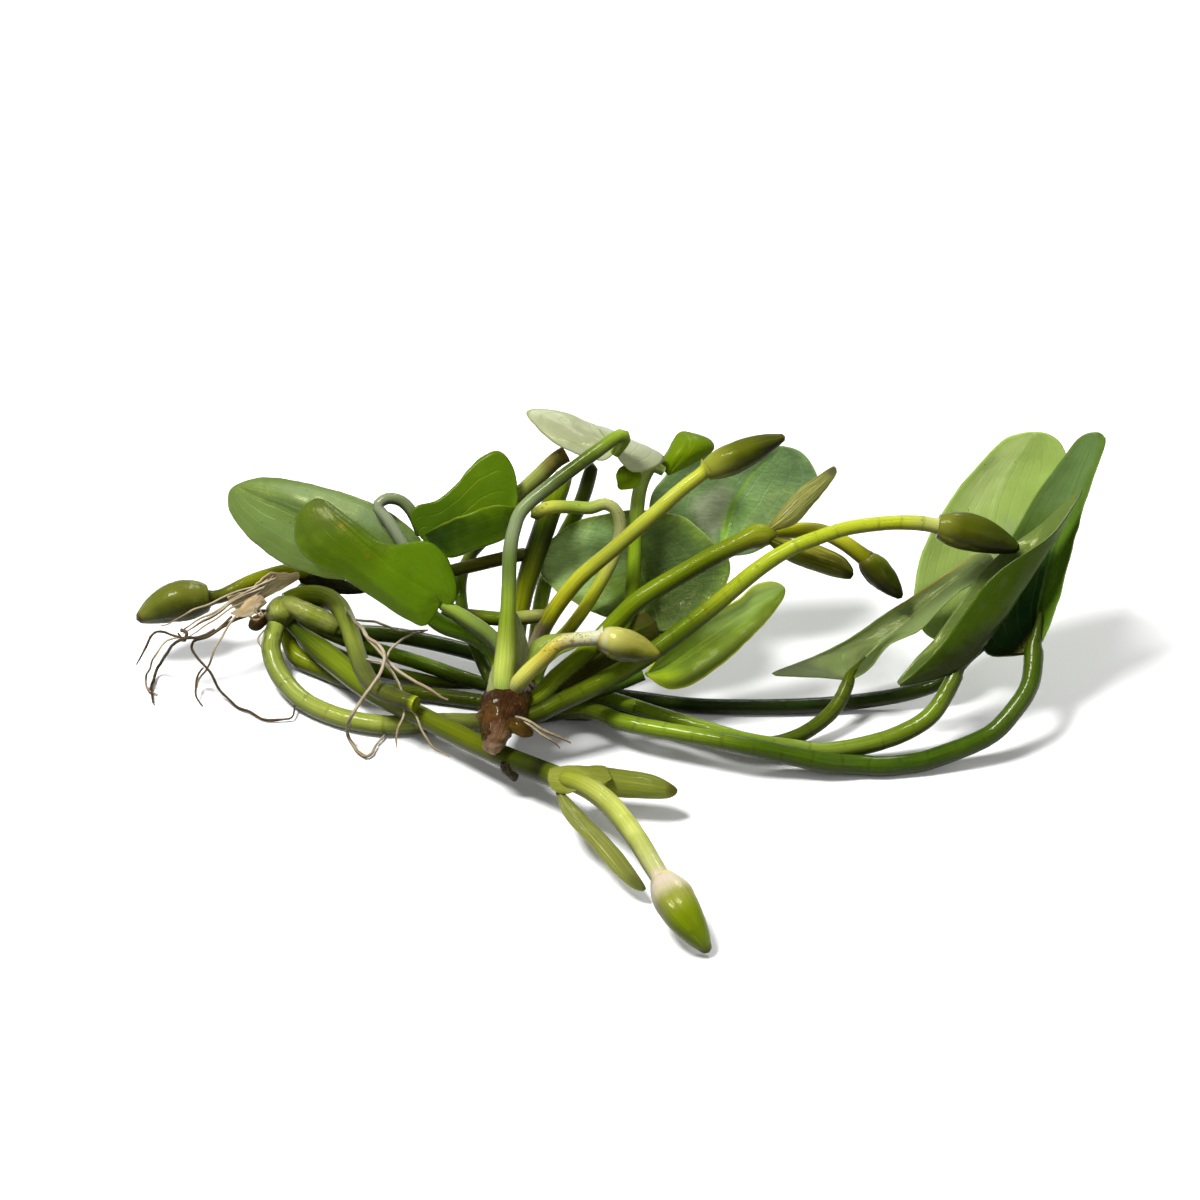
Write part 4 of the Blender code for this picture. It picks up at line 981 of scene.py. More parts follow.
stem(
    "spare_shoot", lying([
        (293, 629, 11), (307, 638, 7.5), (340, 655, 4.5), (366, 667, 3), (430, 681, 2.3), (476, 688, 1.8)
    ]), [1.2, 1.5, 1.9, 2.0, 1.8, 0.4],
    stem_skin("spare_shoot", [(0, 0x809232), (0.6, 0x6E861E), (1, 0x64781E)], 0x5A6E1A, wet=0.5),
    ends=(0, 1.5)
)
stem(
    "runner", lying([
        (288, 622, 14), (301, 634, 12.5), (314, 645, 11.5), (330, 658, 10.5), (367, 688, 9.6),
        (400, 706, 10.4), (420, 716, 10.5), (460, 736, 10.5), (500, 755, 11.5), (548, 774, 13),
        (563, 780, 13.6)
    ]), [1.8, 2.4, 3.4, 3.8, 3.4, 3.2, 3.2, 3.3, 3.3, 3.4, 3.3], stem_skin(
        "runner", [
            (0, 0x3C4C1E), (0.25, 0x84962A), (0.5, 0x6A7624), (0.68, 0x747E22), (0.88, 0x38401E),
            (0.925, 0x262A1E), (0.945, 0x545E20), (1, 0xE8E874)
        ], 0x526A1E, blotch=0.12, streak=0.28, rough=0.3, broken=0.14
    ), reach=1.5, lump_size=12, lump_depth=0.3, ends=(0, 0.6)
)
stem(
    "cut_stem", deep([
        (285, 602, 41), (300, 598, 42), (316, 597, 41), (330, 600, 38.5), (341, 609, 32.8), (348, 625, 26.8),
        (354, 643, 22.5), (362, 667, 15.5), (375, 687, 8.7), (397, 698, 2.8), (416, 704.5, -0.3)
    ]), [3.0, 3.7, 3.7, 3.3, 2.9, 2.8, 2.8, 2.8, 2.8, 2.7, 2.5], stem_skin(
        "grey_cut_stem", [(0, 0x98A624), (0.3, 0xA4B248), (0.75, 0x646A3A), (0.97, 0x4A5028), (1, 0xB4C424)],
        0x888E34, blotch=0.24, streak=0.28, rough=0.4, wet=0.38
    )
)


# ---- The front shoot at the end of the runner: two blunt bracts wrap a stalk, whose closed bud touches
# the table. The bracts are leathery, with grey-brown dried rims.
leaf(
    "front_bract_upper", [(563, 773, -23), (590, 767, -19), (630, 771, -19), (660, 778, -20)],
    [(563, 775, -23), (600, 780, -24), (635, 785, -25), (660, 789, -25)],
    [(563, 777, -23), (590, 794, -22), (640, 798, -23), (668, 798, -23)], leaf_skin(
        "pale_front_bract", 0x86903E, 0x8A9036, blotch=0.28, veins=0, lines=34, line_share=0.25, rim=0x524424,
        rim_width=0.035, patches=((0.5, 0.98, 0.6, 0.1, 0x584A26, 0.7),), wet=0.25
    ), tip=(677, 790, -22), rib=0.3, wave=0.3, rows=40
)
leaf(
    "front_bract_lower",
    [(560, 788, -25), (573, 803, -33), (592, 822, -38), (614, 844, -43), (631, 865, -47)],
    [(558, 789, -25), (568, 808, -36), (585, 829, -41), (604, 851, -46), (624, 874, -50)],
    [(555, 790, -25), (563, 813, -35), (577, 831, -40), (595, 850, -44), (617, 875, -49), (634, 889, -51)],
    leaf_skin(
        "strap_bract", 0x90964E, 0xB4B85A, blotch=0.28, veins=0, lines=30, line_share=0.3, rim=0xAAA874,
        rim_width=0.056, patches=((0.5, 0.98, 0.6, 0.12, 0x686C3E, 0.6),), wet=0.25
    ), tip=(646, 889, -51), rib=0.3, wave=0.3, rows=40
)
stem(
    "front_bud_stalk", deep([
        (560, 779, -27), (579, 784, -31), (598, 794.5, -35), (615, 810, -39), (637, 839, -46),
        (651, 862, -52.5), (661, 878.3, -57.7)
    ]), [2.8, 3.0, 3.2, 3.2, 3.1, 3.0, 3.0], stem_skin(
        "front_bud_stalk", [(0, 0x9EA438), (0.5, 0xD6DC72), (0.9, 0xC8CA82), (1, 0xE8D2CE)], 0x9CAA38,
        streak=0.21, wet=0.45
    ), reach=2, flare=4.2, lump_size=8, lump_depth=0.2, ends=(0.8, 0)
)
bud(
    "front_bud", deep([(662, 879.6, -58), (685, 917, -68)]) + lying([(708, 951, 1.6)]), 5.8, stem_skin(
        "front_bud", [
            (0, 0xE8E846), (0.13, 0xDCD6BE), (0.24, 0xD8CCAA), (0.4, 0x9A9C48), (0.6, 0x80921E),
            (0.9, 0x92AC20), (1, 0x726C1E)
        ], 0x808E1E, blotch=0.12, scars=((0.1, 0.12, 0xE1C8B9, 0.6, (-0.6, -0.6, 0.5)),), streak=0.08,
        painted_underside_shade=0.75, rough=0.33, wet=0.42
    ), turn=0.45
)
leaf(
    "shoot_sheath", [(549, 769, -24), (562, 767, -24), (582, 766, -23), (606, 768, -21)],
    [(548, 779, -28.5), (566, 779, -30), (586, 778, -31), (612, 779, -27)],
    [(551, 789, -28), (564, 794, -30.5), (578, 790, -34), (606, 783, -31)], leaf_skin(
        "shoot_sheath", 0x8E943C, 0x9CA24C, blotch=0.4, veins=0, lines=18, line_share=0.15, rim=0xAAB66E,
        rim_width=0.02, rough=0.34, wet=0.3
    ), rib=0.3, wave=0.4, wave_size=8, rows=40, columns=14, thickness=0.6, node=False
)
leaf(
    "runner_scale", [(501, 762, -15), (502, 770, -14), (507, 777, -13.5)],
    [(508, 763, -16.5), (509, 770, -15.5), (512, 776, -14.5)],
    [(516, 767, -16), (518, 772, -15), (518, 777, -14)],
    leaf_skin("dark_runner_scale", 0x2A2412, 0x3E321A, veins=0, lines=24, rough=0.45, wet=0.25),
    tip=(515, 781, -13), rib=0.3, wave=0.4, wave_size=3, rows=24, thickness=0.7, node=False
)


# ---- The centre crown: a wet, glossy red-brown stub of rhizome with old leaf scars. It lies over the
# runner and runs back under the stems that stand out of it.
rhizome_skin = stem_skin(
    "wet_rhizome", [(0, 0x603C24), (0.3, 0x704E30), (0.6, 0x54341E), (0.85, 0x70562C), (1, 0x807A3E)],
    0x321B10, blotch=0.75, streak=0.2, specks=0.3, speck_colour=0xA5824B, painted_underside_shade=0.4, rough=0.22, wet=0.5,
    bump=0.9, broken=0.25
)
stem(
    "center_crown", deep([
        (489, 747, -19), (494, 733, -15), (502, 712, -8), (508, 702, -1), (517, 697, 7), (527, 692, 13.5),
        (531, 690, 18.5)
    ]), [1.4, 4.2, 7.2, 7.0, 6.0, 4.3, 4.2], rhizome_skin, slot="crown", lump_size=5, lump_depth=2.2,
    sides=64, step=0.35 * MM, ends=(0.7, 0)
)
crown_trim(
    "crown_knob", deep([(493, 713, -11), (484, 716, -12.5), (476, 716, -13)]), (2.6, 2.2, 1.5), rhizome_skin,
    lump_size=2.5, lump_depth=0.9, sides=32, step=0.3 * MM, ends=(0, 0.9)
)
crown_trim(
    "torn_crown_end", deep([(501, 724, -15), (497, 737, -17), (488, 752, -18)]), (3.8, 3.4, 2.2), stem_skin(
        "torn_rhizome_end", [(0, 0x603C2A), (0.45, 0x88664C), (1, 0xC4A484)], 0x644030, blotch=0.6,
        specks=0.2, speck_colour=0x462814, painted_underside_shade=0.3, rough=0.35, wet=0.15, bump=0.9
    ), lump_size=1.8, lump_depth=2.2, sides=40, step=0.3 * MM, ends=(0, 0.15)
)
leaf(
    "crown_flap", [(508, 716, -15), (517, 719, -17), (526, 724, -17.5), (533, 732, -17)],
    [(507, 720, -16), (516, 725, -18.5), (524, 730, -19), (533, 733, -17)],
    [(505, 725, -17), (513, 733, -18.5), (523, 737, -18.5), (533, 735, -17)],
    leaf_skin("brown_crown_flap", 0x694E26, 0x483418, veins=0, lines=20, rough=0.4, wet=0.35, bump=0.3),
    rib=0, wave_size=4, rows=24, thickness=0.7, node=False
)


# ---- The stems that stand out of the centre crown: petioles of the top leaves and stalks of the flower
# buds, from lime to olive, some with pale film at the foot and brown scars where they were bruised.
stem(
    "petiole_tall", deep([
        (503, 700, -7), (503, 683, -8), (506, 650, -8), (508, 610, -9), (509, 580, -8), (510, 552, -8),
        (514, 530, -7), (524, 508, -6), (558, 480, -5), (596, 452, -4), (618, 436, -3), (625, 439, -1),
        (616.6, 451, 1.8)
    ]), [3.4, 3.4, 3.2, 2.4, 2.2, 2.2, 2.1, 2.1, 2.1, 2.1, 2.0, 1.8, 1.6], stem_skin(
        "tall_petiole", [
            (0, 0xBAD664), (0.1, 0xD8E86A), (0.25, 0x96AE2E), (0.38, 0x7A9244), (0.5, 0x96A67A),
            (0.75, 0x4E6024), (1, 0xACCC42)
        ], 0x9EB65E, blotch=0.2, streak=0.24, wet=0.68, broken=0.28
    ), reach=1, lump_depth=0.2
)
film_skin = leaf_skin(
    "pale_film", 0xB9C082, 0xA0AC5F, blotch=0.33, veins=0, lines=26, line_share=0.3, rough=0.25, wet=0.45,
    sheer=0.3, bump=0.2
)
leaf(
    "right_film_wing", [(513, 694, -7), (511, 670, -7), (510, 642, -5), (513, 612, -3)],
    [(518, 693, -6), (519, 670, -5), (518, 642, -3), (514, 612, -3)],
    [(523, 690, -5), (528, 668, -3), (527, 640, -2), (515, 612, -3)], film_skin, rib=0, wave=0.6, wave_size=5,
    rows=40, columns=10, thickness=0.5, edge=1.0, slot="stem", node=False
)
leaf(
    "left_film_wing", [(491, 702, -9), (488, 690, -8), (489, 674, -8)],
    [(495, 702, -10), (493, 689, -10), (493, 676, -9)], [(499, 702, -10), (498, 688, -10), (497, 676, -9)],
    film_skin, tip=(494, 664, -8), rib=0, wave=0.7, wave_size=4, rows=30, columns=10, thickness=0.5, edge=1.2,
    slot="stem", node=False
)
stem(
    "yellow_stalk", deep([
        (504, 706, -4), (511, 694, -6.5), (522, 679, -10.5), (543, 658, -12), (563, 642, -12),
        (597.3, 638.1, -12)
    ]), [2.3, 2.5, 2.6, 2.3, 2.2, 2.3], stem_skin(
        "yellow_stalk",
        [(0, 0xDEDAC4), (0.16, 0xE4DEA0), (0.3, 0xE8E872), (0.6, 0xD4C04E), (0.85, 0xE8E8BC), (1, 0xE8E8DC)],
        0xE8E85C, blotch=0.16, streak=0.24, specks=0.6, speck_range=(0.55, 0.9), wet=0.45
    ), reach=2, flare=3.6, lump_size=5, lump_depth=0.35
)
bud(
    "yellow_bud", deep([(600, 639, -12), (632, 647, -13), (659, 656, -13)]), 4.9, stem_skin(
        "yellow_bud",
        [(0, 0xDABA48), (0.1, 0xE8E8B4), (0.2, 0xDCDA74), (0.6, 0x7C7C22), (0.92, 0x949C22), (1, 0x6C5E24)],
        0x808E26, blotch=0.18, streak=0.08, painted_underside_shade=0.88, top=0xC4BA68, top_light_share=0.45, rough=0.3, wet=0.63,
        specks=0.1
    ), turn=0.1
)
leaf(
    "pale_sheath", [(521, 688, -3), (528, 648, -1), (545, 636, -1), (575, 634, -1)],
    [(521, 689, -3), (536, 658, -4), (552, 646, -4), (572, 641, -4)],
    [(521, 690, -3), (545, 668, -3), (560, 655, -4), (575, 648, -4)], leaf_skin(
        "pale_sheath", 0x96AA4B, 0xAAB45F, blotch=0.28, veins=0, lines=30, line_share=0.15, rough=0.35,
        wet=0.3, sheer=0.15
    ), tip=(592, 640, -3), rib=0, wave_size=5, rows=36, thickness=0.6, slot="bud"
)
stem(
    "upper_stalk", deep([
        (518, 694, 10), (526, 672, 12), (538, 640, 12), (553, 612, 9), (579, 579, 5), (617, 546, 3),
        (655, 513, 2), (681, 490, 2), (703.8, 472.4, 2)
    ]), [2.0, 2.2, 2.4, 2.5, 2.4, 2.3, 2.3, 2.2, 2.3], stem_skin(
        "upper_stalk", [(0, 0xBAD048), (0.15, 0xB0B44E), (0.3, 0xE8E836), (0.6, 0xC0C848), (1, 0xDAE04C)],
        0x9E903A, blotch=0.18, streak=0.32, specks=0.12,
        scars=((0.2, 0.07, 0xA5917D, 0.75, (-0.5, -0.6, 0.6)),), wet=0.42
    ), reach=2, flare=3.9, lump_size=6, lump_depth=0.3
)
bud(
    "upper_bud", deep([(706, 471, 2), (745, 453, 1), (784, 437, 0)]), 4.6, stem_skin(
        "upper_bud", [(0, 0xB6BA4A), (0.5, 0x545A1E), (0.85, 0x26261C), (1, 0x3C301E)], 0x3E3E1E, blotch=0.2,
        streak=0.08, painted_underside_shade=0.75, top=0x687020, top_light_share=0.4, rough=0.38, wet=0.35, specks=0.15
    ), turn=0.3
)
stem(
    "middle_stalk", deep([
        (512, 712, 0), (537, 697, 3), (558, 676, 5), (589, 650, 5), (618, 620, 4), (645, 596, 3),
        (706, 560, 4), (744, 541, 4.5), (757, 536, 5), (768, 535, 5)
    ]), [2.2, 2.6, 2.8, 2.9, 2.9, 2.9, 2.9, 3.1, 3.9, 3.4], stem_skin(
        "middle_stalk", [(0, 0xBAD62A), (0.4, 0x88A024), (0.75, 0x68761E), (0.95, 0xA0A234), (1, 0x9CA022)],
        0x607222, blotch=0.18, streak=0.39, top=0x849A24, top_light_share=0.55, wet=0.42, specks=0.15
    ), reach=3, ends=(0, 1.6), lump_size=7, lump_depth=0.3
)
stem(
    "long_stalk", deep([
        (506, 722, -6), (534, 715, -5), (560, 702, -4), (594, 686, -2), (645, 657, -1), (701, 616, -2),
        (757, 570, -4), (790, 549, -5), (820, 537, -5), (849, 528, -4), (887, 523, -3), (918, 523, -2),
        (936.8, 525.9, -1)
    ]), [2.4, 2.8, 2.9, 3.0, 2.9, 2.7, 2.5, 2.3, 2.2, 2.2, 2.2, 2.3, 2.4], stem_skin(
        "long_stalk",
        [(0, 0x444C1E), (0.2, 0x6A7C20), (0.4, 0x62761E), (0.6, 0xC6D43A), (0.9, 0xD4DE3C), (1, 0xE8E88A)],
        0x7EA21E, blotch=0.16, streak=0.32, specks=0.22, speck_colour=0x322814, speck_range=(0.5, 1.0),
        wet=0.45, septa=6.5, septa_tone=0.75
    ), reach=2.4, flare=3.8
)
bud(
    "long_bud", deep([(938, 526, -1), (978, 534, 0), (1018, 549, 0)]), 5.6, stem_skin(
        "long_bud", [(0, 0x9EA040), (0.3, 0x5A5E20), (0.8, 0x2C301E), (1, 0x384020)], 0x38421E, blotch=0.2,
        streak=0.08, painted_underside_shade=0.75, top=0x545E20, top_light_share=0.55, rough=0.4, wet=0.3, specks=0.1
    ), turn=0.05
)
stem(
    "arched_stem", deep([
        (529, 694, 12), (536, 682, 15), (541, 666, 19), (554, 645, 20), (570, 628, 17), (590, 600, 15),
        (612, 560, 14), (620, 532, 14), (617, 512, 14), (605, 504, 14), (590, 508, 14), (570, 507, 14),
        (548, 508, 12), (531, 517, 9)
    ]), [1.8, 1.8, 1.9, 2.0, 2.0, 2.0, 2.0, 2.0, 1.9, 1.9, 2.0, 2.0, 2.1, 1.7], stem_skin(
        "arched_stem",
        [(0, 0x92BE2E), (0.4, 0xE8E83E), (0.65, 0xE8E89A), (0.85, 0xA6BA4C), (0.93, 0xE8E862), (1, 0x484A20)],
        0xA0CC3C, blotch=0.18, streak=0.24, specks=0.3, speck_range=(0.6, 1.0), painted_underside_shade=0.6, wet=0.45
    ), ends=(0, 0.8)
)
stem(
    "green_stem", deep([
        (524, 697, 12), (547, 691, 11.5), (580, 672, 13), (610, 645, 14), (628, 615, 14), (633, 580, 14),
        (635, 540, 14), (638, 500, 14), (643, 480, 14), (652, 467, 13), (663.5, 471.5, 13.6)
    ]), [1.8, 2.1, 2.2, 2.2, 2.2, 2.2, 2.2, 2.2, 2.1, 1.9, 1.5], stem_skin(
        "green_stem", [(0, 0x96AC40), (0.3, 0x809E24), (0.7, 0xA4C632), (1, 0xBED478)], 0xA8C832, blotch=0.16,
        streak=0.24, wet=0.49
    )
)
stem(
    "wide_petiole", deep([
        (521, 692, 14), (517, 676, 18.5), (515, 660, 20), (517, 640, 20), (521, 606, 20), (530, 570, 20),
        (545, 525, 20), (558, 490, 20), (566, 470, 20)
    ]), [1.8, 2.0, 2.3, 2.5, 2.9, 3.3, 3.5, 3.3, 2.6], stem_skin(
        "wide_petiole", [(0, 0x94A838), (0.4, 0x929C22), (0.7, 0x384420), (1, 0x98B222)], 0x546228,
        blotch=0.2, streak=0.35, wet=0.42
    ), lump_size=9, lump_depth=0.4, ends=(0, 0.8)
)
stem(
    "dark_stem", deep([
        (530, 693, 15), (533, 684, 19.5), (532, 672, 25), (538, 620, 31), (546, 580, 33), (560, 545, 33),
        (580, 505, 31), (590, 474, 29), (593, 463, 28)
    ]), [1.6, 1.7, 2.0, 2.3, 2.4, 2.4, 2.3, 2.2, 1.4],
    stem_skin("dark_stem", [(0, 0xBAB846), (0.6, 0xA4CA2E), (1, 0x384222)], 0x6C8046, wet=0.42),
    ends=(0, 0.8)
)


# ---- The flowering joint at the end of the middle stalk: a tan bract above, an olive one below, and a
# short stalk with a small purple-brown bud between them.
leaf(
    "tan_bract", [(765, 530, 4), (777, 515, 5), (795, 493, 6), (818, 476, 7), (836, 466, 8)],
    [(767, 531, 4), (786, 517, 3), (805, 499, 4), (822, 484, 6), (836, 468, 8)],
    [(769, 532, 4), (796, 523, 5), (811, 506, 6), (827, 488, 7), (837, 470, 8)], leaf_skin(
        "tan_bract", 0xB8BA68, 0x9C9A54, blotch=0.28, veins=0, lines=44, line_share=0.45, rim=0x848258,
        rim_width=0.035,
        patches=((0.5, 1.0, 0.7, 0.14, 0x7E7C58, 0.8), (0.5, 0.05, 0.6, 0.18, 0xC0BC56, 0.6)), rough=0.5,
        wet=0.17, bump=0.25
    ), rib=0.2, wave=0.35, wave_size=6, rows=40, thickness=0.7
)
leaf(
    "olive_bract", [(766, 535, 4), (795, 541, 6), (820, 546, 6), (842, 556, 6), (853, 572, 6)],
    [(766, 538, 4), (793, 551, 1), (815, 560, 1), (837, 568, 2), (853, 575, 6)],
    [(766, 541, 4), (790, 561, 6), (815, 570, 6), (838, 577, 6), (852, 577, 6)], leaf_skin(
        "olive_bract", 0x5C6020, 0x46481E, blotch=0.28, veins=0, lines=40, line_share=0.5, rim=0x6C5620,
        rim_width=0.042,
        patches=((0.5, 1.0, 0.8, 0.16, 0x3E4020, 0.85), (0.25, 0.5, 0.2, 0.5, 0xE6E25A, 0.5)), rough=0.42,
        wet=0.25, bump=0.25
    ), rib=0.2, wave=0.3, wave_size=6, rows=40, thickness=0.7
)
stem(
    "dark_bud_stalk", deep([
        (762, 534, 7), (776, 532, 10), (790, 531, 12.5), (806, 530, 14), (823, 532, 14), (843, 542, 13),
        (862.6, 556, 12)
    ]), [2.0, 2.2, 2.4, 2.4, 2.4, 2.4, 2.6], stem_skin(
        "dark_bud_stalk", [(0, 0xE8E828), (0.6, 0xE8E840), (1, 0x68681E)], 0xB0B622, streak=0.32, wet=0.38,
        specks=0.15
    ), reach=1.8, flare=2.9
)
bud(
    "dark_bud", deep([(864.5, 558, 12), (882, 576, 12), (901, 597, 12)]), 4.2, stem_skin(
        "dark_bud", [(0, 0x705E32), (0.3, 0x5C5E20), (0.7, 0x262A1E), (1, 0x282A20)], 0x323420, blotch=0.2,
        streak=0.08, painted_underside_shade=0.75, top=0x748C20, top_light_share=0.4, wet=0.38
    ), turn=0.25
)


# ---- The leaves on the left: round, thick and waxy, 50 to 60 mm long, each on a petiole that comes back
# to the centre crown. One has folded along its midrib.
left_back_skin = leaf_skin(
    "pale_leaf_back", 0x8CA55F, 0x78964B, veins=9, vein=0xA5B978, rib=0xAABE78, rough=0.45, wet=0.15
)
leaf(
    "leaf_front_left", [
        (436, 613, 2), (425, 625.5, 2), (410, 621, 2.3), (391, 610, 3), (363, 591.5, 3.5), (344, 578.5, 4.5),
        (311, 561, 6), (297, 545, 8), (294, 528, 8), (300, 511, 8)
    ], [(430, 592, 0), (400, 575, -1), (370, 550, 0), (340, 522, 3)], [
        (449, 606, 2), (456, 598, 2), (455, 578, 3), (447, 557, 3), (434, 544, 3), (419, 541, 2.5),
        (400, 547, 2), (383, 543, 2.5), (366, 530, 4), (344, 514, 6), (328, 502, 7.5)
    ], leaf_skin(
        "vivid_left_leaf", 0x5C7C1E, 0x50681E, blotch=0.4, veins=9, vein=0x70861E, vein_share=0.08,
        rim=0x606E1E, rim_width=0.008, rib=0x68801E, rib_share=0.3, patches=(
            (0.45, 0.95, 0.7, 0.3, 0x566236, 0.85), (0.15, 0.8, 0.2, 0.2, 0x5E7226, 0.6),
            (0.5, 0.6, 0.6, 0.2, 0x4A5C1E, 0.6), (0.1, 0.45, 0.12, 0.4, 0x40521E, 0.6),
            (0.5, 0.75, 0.03, 0.022, 0x8E6E2A, 0.8), (0.42, 0.5, 0.04, 0.014, 0x72641E, 0.6)
        ), rough=0.36
    ), base=(441, 602, 2), tip=(315, 499, 8), back=left_back_skin, rib=-0.5
)
stem(
    "petiole_front_left",
    deep([(442.8, 604.2, 3.5), (470, 621, 3), (492, 637, 2), (504, 655, 2), (509, 676, 1), (510, 700, 0)]),
    [1.9, 2.2, 2.2, 2.1, 2.0, 2.0], stem_skin(
        "front_left_petiole", [(0, 0xA2BC4A), (0.4, 0x889E50), (0.8, 0xACB294), (1, 0xBCB8A8)], 0x789432,
        streak=0.21, wet=0.52
    ), reach=1
)
leaf(
    "leaf_back_left",
    [(380, 580, 18), (330, 578, 20), (289, 566, 22), (258, 546, 24), (233, 518, 26), (228, 497, 27)],
    [(385, 550, 14), (340, 530, 15), (290, 508, 19), (255, 495, 24)],
    [(424, 545, 16), (400, 520, 17), (381, 508, 17), (355, 497, 18), (304, 483, 22), (265, 477, 26)],
    leaf_skin(
        "bluish_left_leaf", 0x6E8446, 0x5C6C38, veins=9, vein=0xAAB298, vein_share=0.14, rim=0xAA9A6C,
        rim_width=0.006, rib=0x4C6228, rib_share=0.5, rib_width=0.03, patches=(
            # The first patch is a painted highlight: the pale band along the upper side where the light
            # falls.
            (0.8, 0.5, 0.16, 0.4, 0x8CA072, 0.65), (0.3, 0.45, 0.12, 0.5, 0x7A9454, 0.5),
            (0.15, 0.2, 0.3, 0.25, 0x6A8A20, 0.7), (0.55, 0.75, 0.1, 0.25, 0x526242, 0.5)
        ), specks=0.08, speck_colour=0x343C1A, rough=0.32, wet=0.2
    ), base=(412, 566, 16), tip=(236, 485, 27), back=left_back_skin, rib=-0.4
)
stem(
    "petiole_back_left", deep([
        (414, 569, 16.4), (418.5, 582, 18), (424, 603, 16), (432, 617, 13.5), (445, 626, 12.5),
        (460, 631, 12.5), (477, 638, 13.5), (492, 653, 14), (501, 674, 12.6), (508, 694, 9.2)
    ]), [1.6, 2.0, 2.4, 2.6, 2.7, 2.7, 2.7, 2.4, 2.2, 2.0],
    stem_skin("back_left_petiole", [(0, 0xB0E424), (0.5, 0x80B226), (1, 0xA2D224)], 0x6C8A24, wet=0.45)
)
leaf(
    "leaf_folded", [
        (411, 519, 8), (416, 506, 8), (437, 500, 9), (458, 482, 10), (475, 462, 11), (489, 453, 11),
        (500, 451, 11), (512, 464, 11), (517, 485, 10)
    ], [(446, 556, 7), (475, 548, 6), (503, 538, 7), (513, 524, 8)],
    [(436, 527, 4.5), (452, 519, 2.5), (467, 514, 2), (482, 508, 2), (497, 505, 3), (509, 506, 6)], leaf_skin(
        "folded_leaf", 0x58761E, 0x4A601E, blotch=0.28, veins=9, vein=0x5C761E, vein_share=0.1, rim=0x647A1E,
        rim_width=0.01, rib=0x70821E, patches=(
            (0.58, 0.5, 0.08, 0.6, 0x627A20, 0.5), (0.12, 0.15, 0.3, 0.3, 0x425C1E, 0.75),
            (0.8, 0.6, 0.2, 0.4, 0x40521E, 0.5)
        ), wet=0.2
    ), base=(421, 536, 9), tip=(517, 505, 9), back=leaf_skin(
        "folded_leaf_back", 0x5C7A12, 0x46620A, veins=9, vein=0x647C1E, rim=0x8C962C, rim_width=0.016,
        # These patches are painted shade on the near half's outer side, which faces away from the light.
        patches=((0.92, 0.15, 0.3, 0.4, 0x223206, 0.85), (0.75, 0.5, 0.2, 0.5, 0x304608, 0.6))
    ), rib=-0.3, fold=0.7
)
stem(
    "petiole_hooked", deep([
        (515, 694, 6), (508, 672, 7.5), (487, 640, 8.5), (462, 620, 8.5), (438, 599, 8), (420, 575, 9),
        (405, 548, 11), (388, 521, 11.5), (378, 507, 12), (386, 499, 12.5), (399, 500, 13), (409, 508, 13),
        (416, 520, 11.8), (419.4, 531, 10.6)
    ]), [1.6, 1.6, 1.7, 1.8, 1.8, 1.8, 1.8, 1.8, 1.8, 1.8, 1.8, 1.8, 1.8, 1.5], stem_skin(
        "hooked_petiole", [
            # The pale grey-green middle stops are partly its own colour and partly a painted highlight along
            # its lit top.
            (0, 0x647E28), (0.3, 0x789246), (0.5, 0x96A478), (0.75, 0xA6B08E), (0.88, 0x788654),
            (0.95, 0x506024), (1, 0x42560E)
        ], 0x8C9876, blotch=0.3, painted_underside_shade=0.75, wet=0.9
    ), reach=1
)


# ---- The leaves at the top: a pale one seen from its waxy back, a small young one still curled, a dark
# glossy one in front, and a large pair at the right whose halves rise from a bright groove.
leaf(
    "leaf_pale_top", [
        (602, 461, 3), (579, 455, 5), (557, 445, 6), (542, 433, 8), (529, 419, 10), (527, 411, 12),
        (545, 409, 14), (566, 414, 16)
    ], [(608, 443, 5), (602, 436, 9), (596, 429, 13)], [
        (622, 463, 3), (634, 472, 5), (650, 470, 8), (664, 460, 12), (653, 450, 14), (628, 438, 16),
        (605, 429, 18)
    ], leaf_skin(
        "pale_back_of_top_leaf", 0xB4BA94, 0xA8AA82, blotch=0.33, veins=9, vein=0x788E4A, vein_share=0.13,
        rim=0x788E40, rim_width=0.021, rib=0x789240, rib_share=0.7,
        patches=((0.8, 0.7, 0.25, 0.4, 0xBCC2A8, 0.6), (0.25, 0.4, 0.25, 0.3, 0x8C906E, 0.6)), rough=0.4,
        wet=0.17
    ), base=(615, 453, 3), tip=(589, 423, 18), rib=0.5, rib_width=0.035
)
small_skin = leaf_skin(
    "young_leaf", 0x6E8820, 0x586A1E, blotch=0.4, veins=7, vein=0x849820, vein_share=0.08, rim=0x969E28,
    rim_width=0.015, rib=0x8C9E20, rough=0.4, wet=0.05
)
leaf(
    "leaf_small_curled", [(660, 465, 17), (668, 450, 18), (674, 439, 19)],
    [(678, 462, 14), (687, 450, 14), (690, 440, 16)], [(690, 466, 18), (713, 449, 19), (706, 437, 20)],
    small_skin, base=(668, 475, 16), tip=(683, 432, 20), back=left_back_skin, rib=-0.3, rows=40, columns=14
)
leaf(
    "dark_young_lobe", [(618, 486, 6), (616, 476, 8), (620, 468, 9), (629, 465, 10)],
    [(618, 488, 6), (626, 482, 7), (631, 474, 8), (633, 466, 10)],
    [(620, 490, 6), (634, 488, 7), (641, 478, 8), (637, 466, 10)], small_skin, rib=0, wave=0.3, wave_size=5,
    rows=30, columns=12, node=False
)
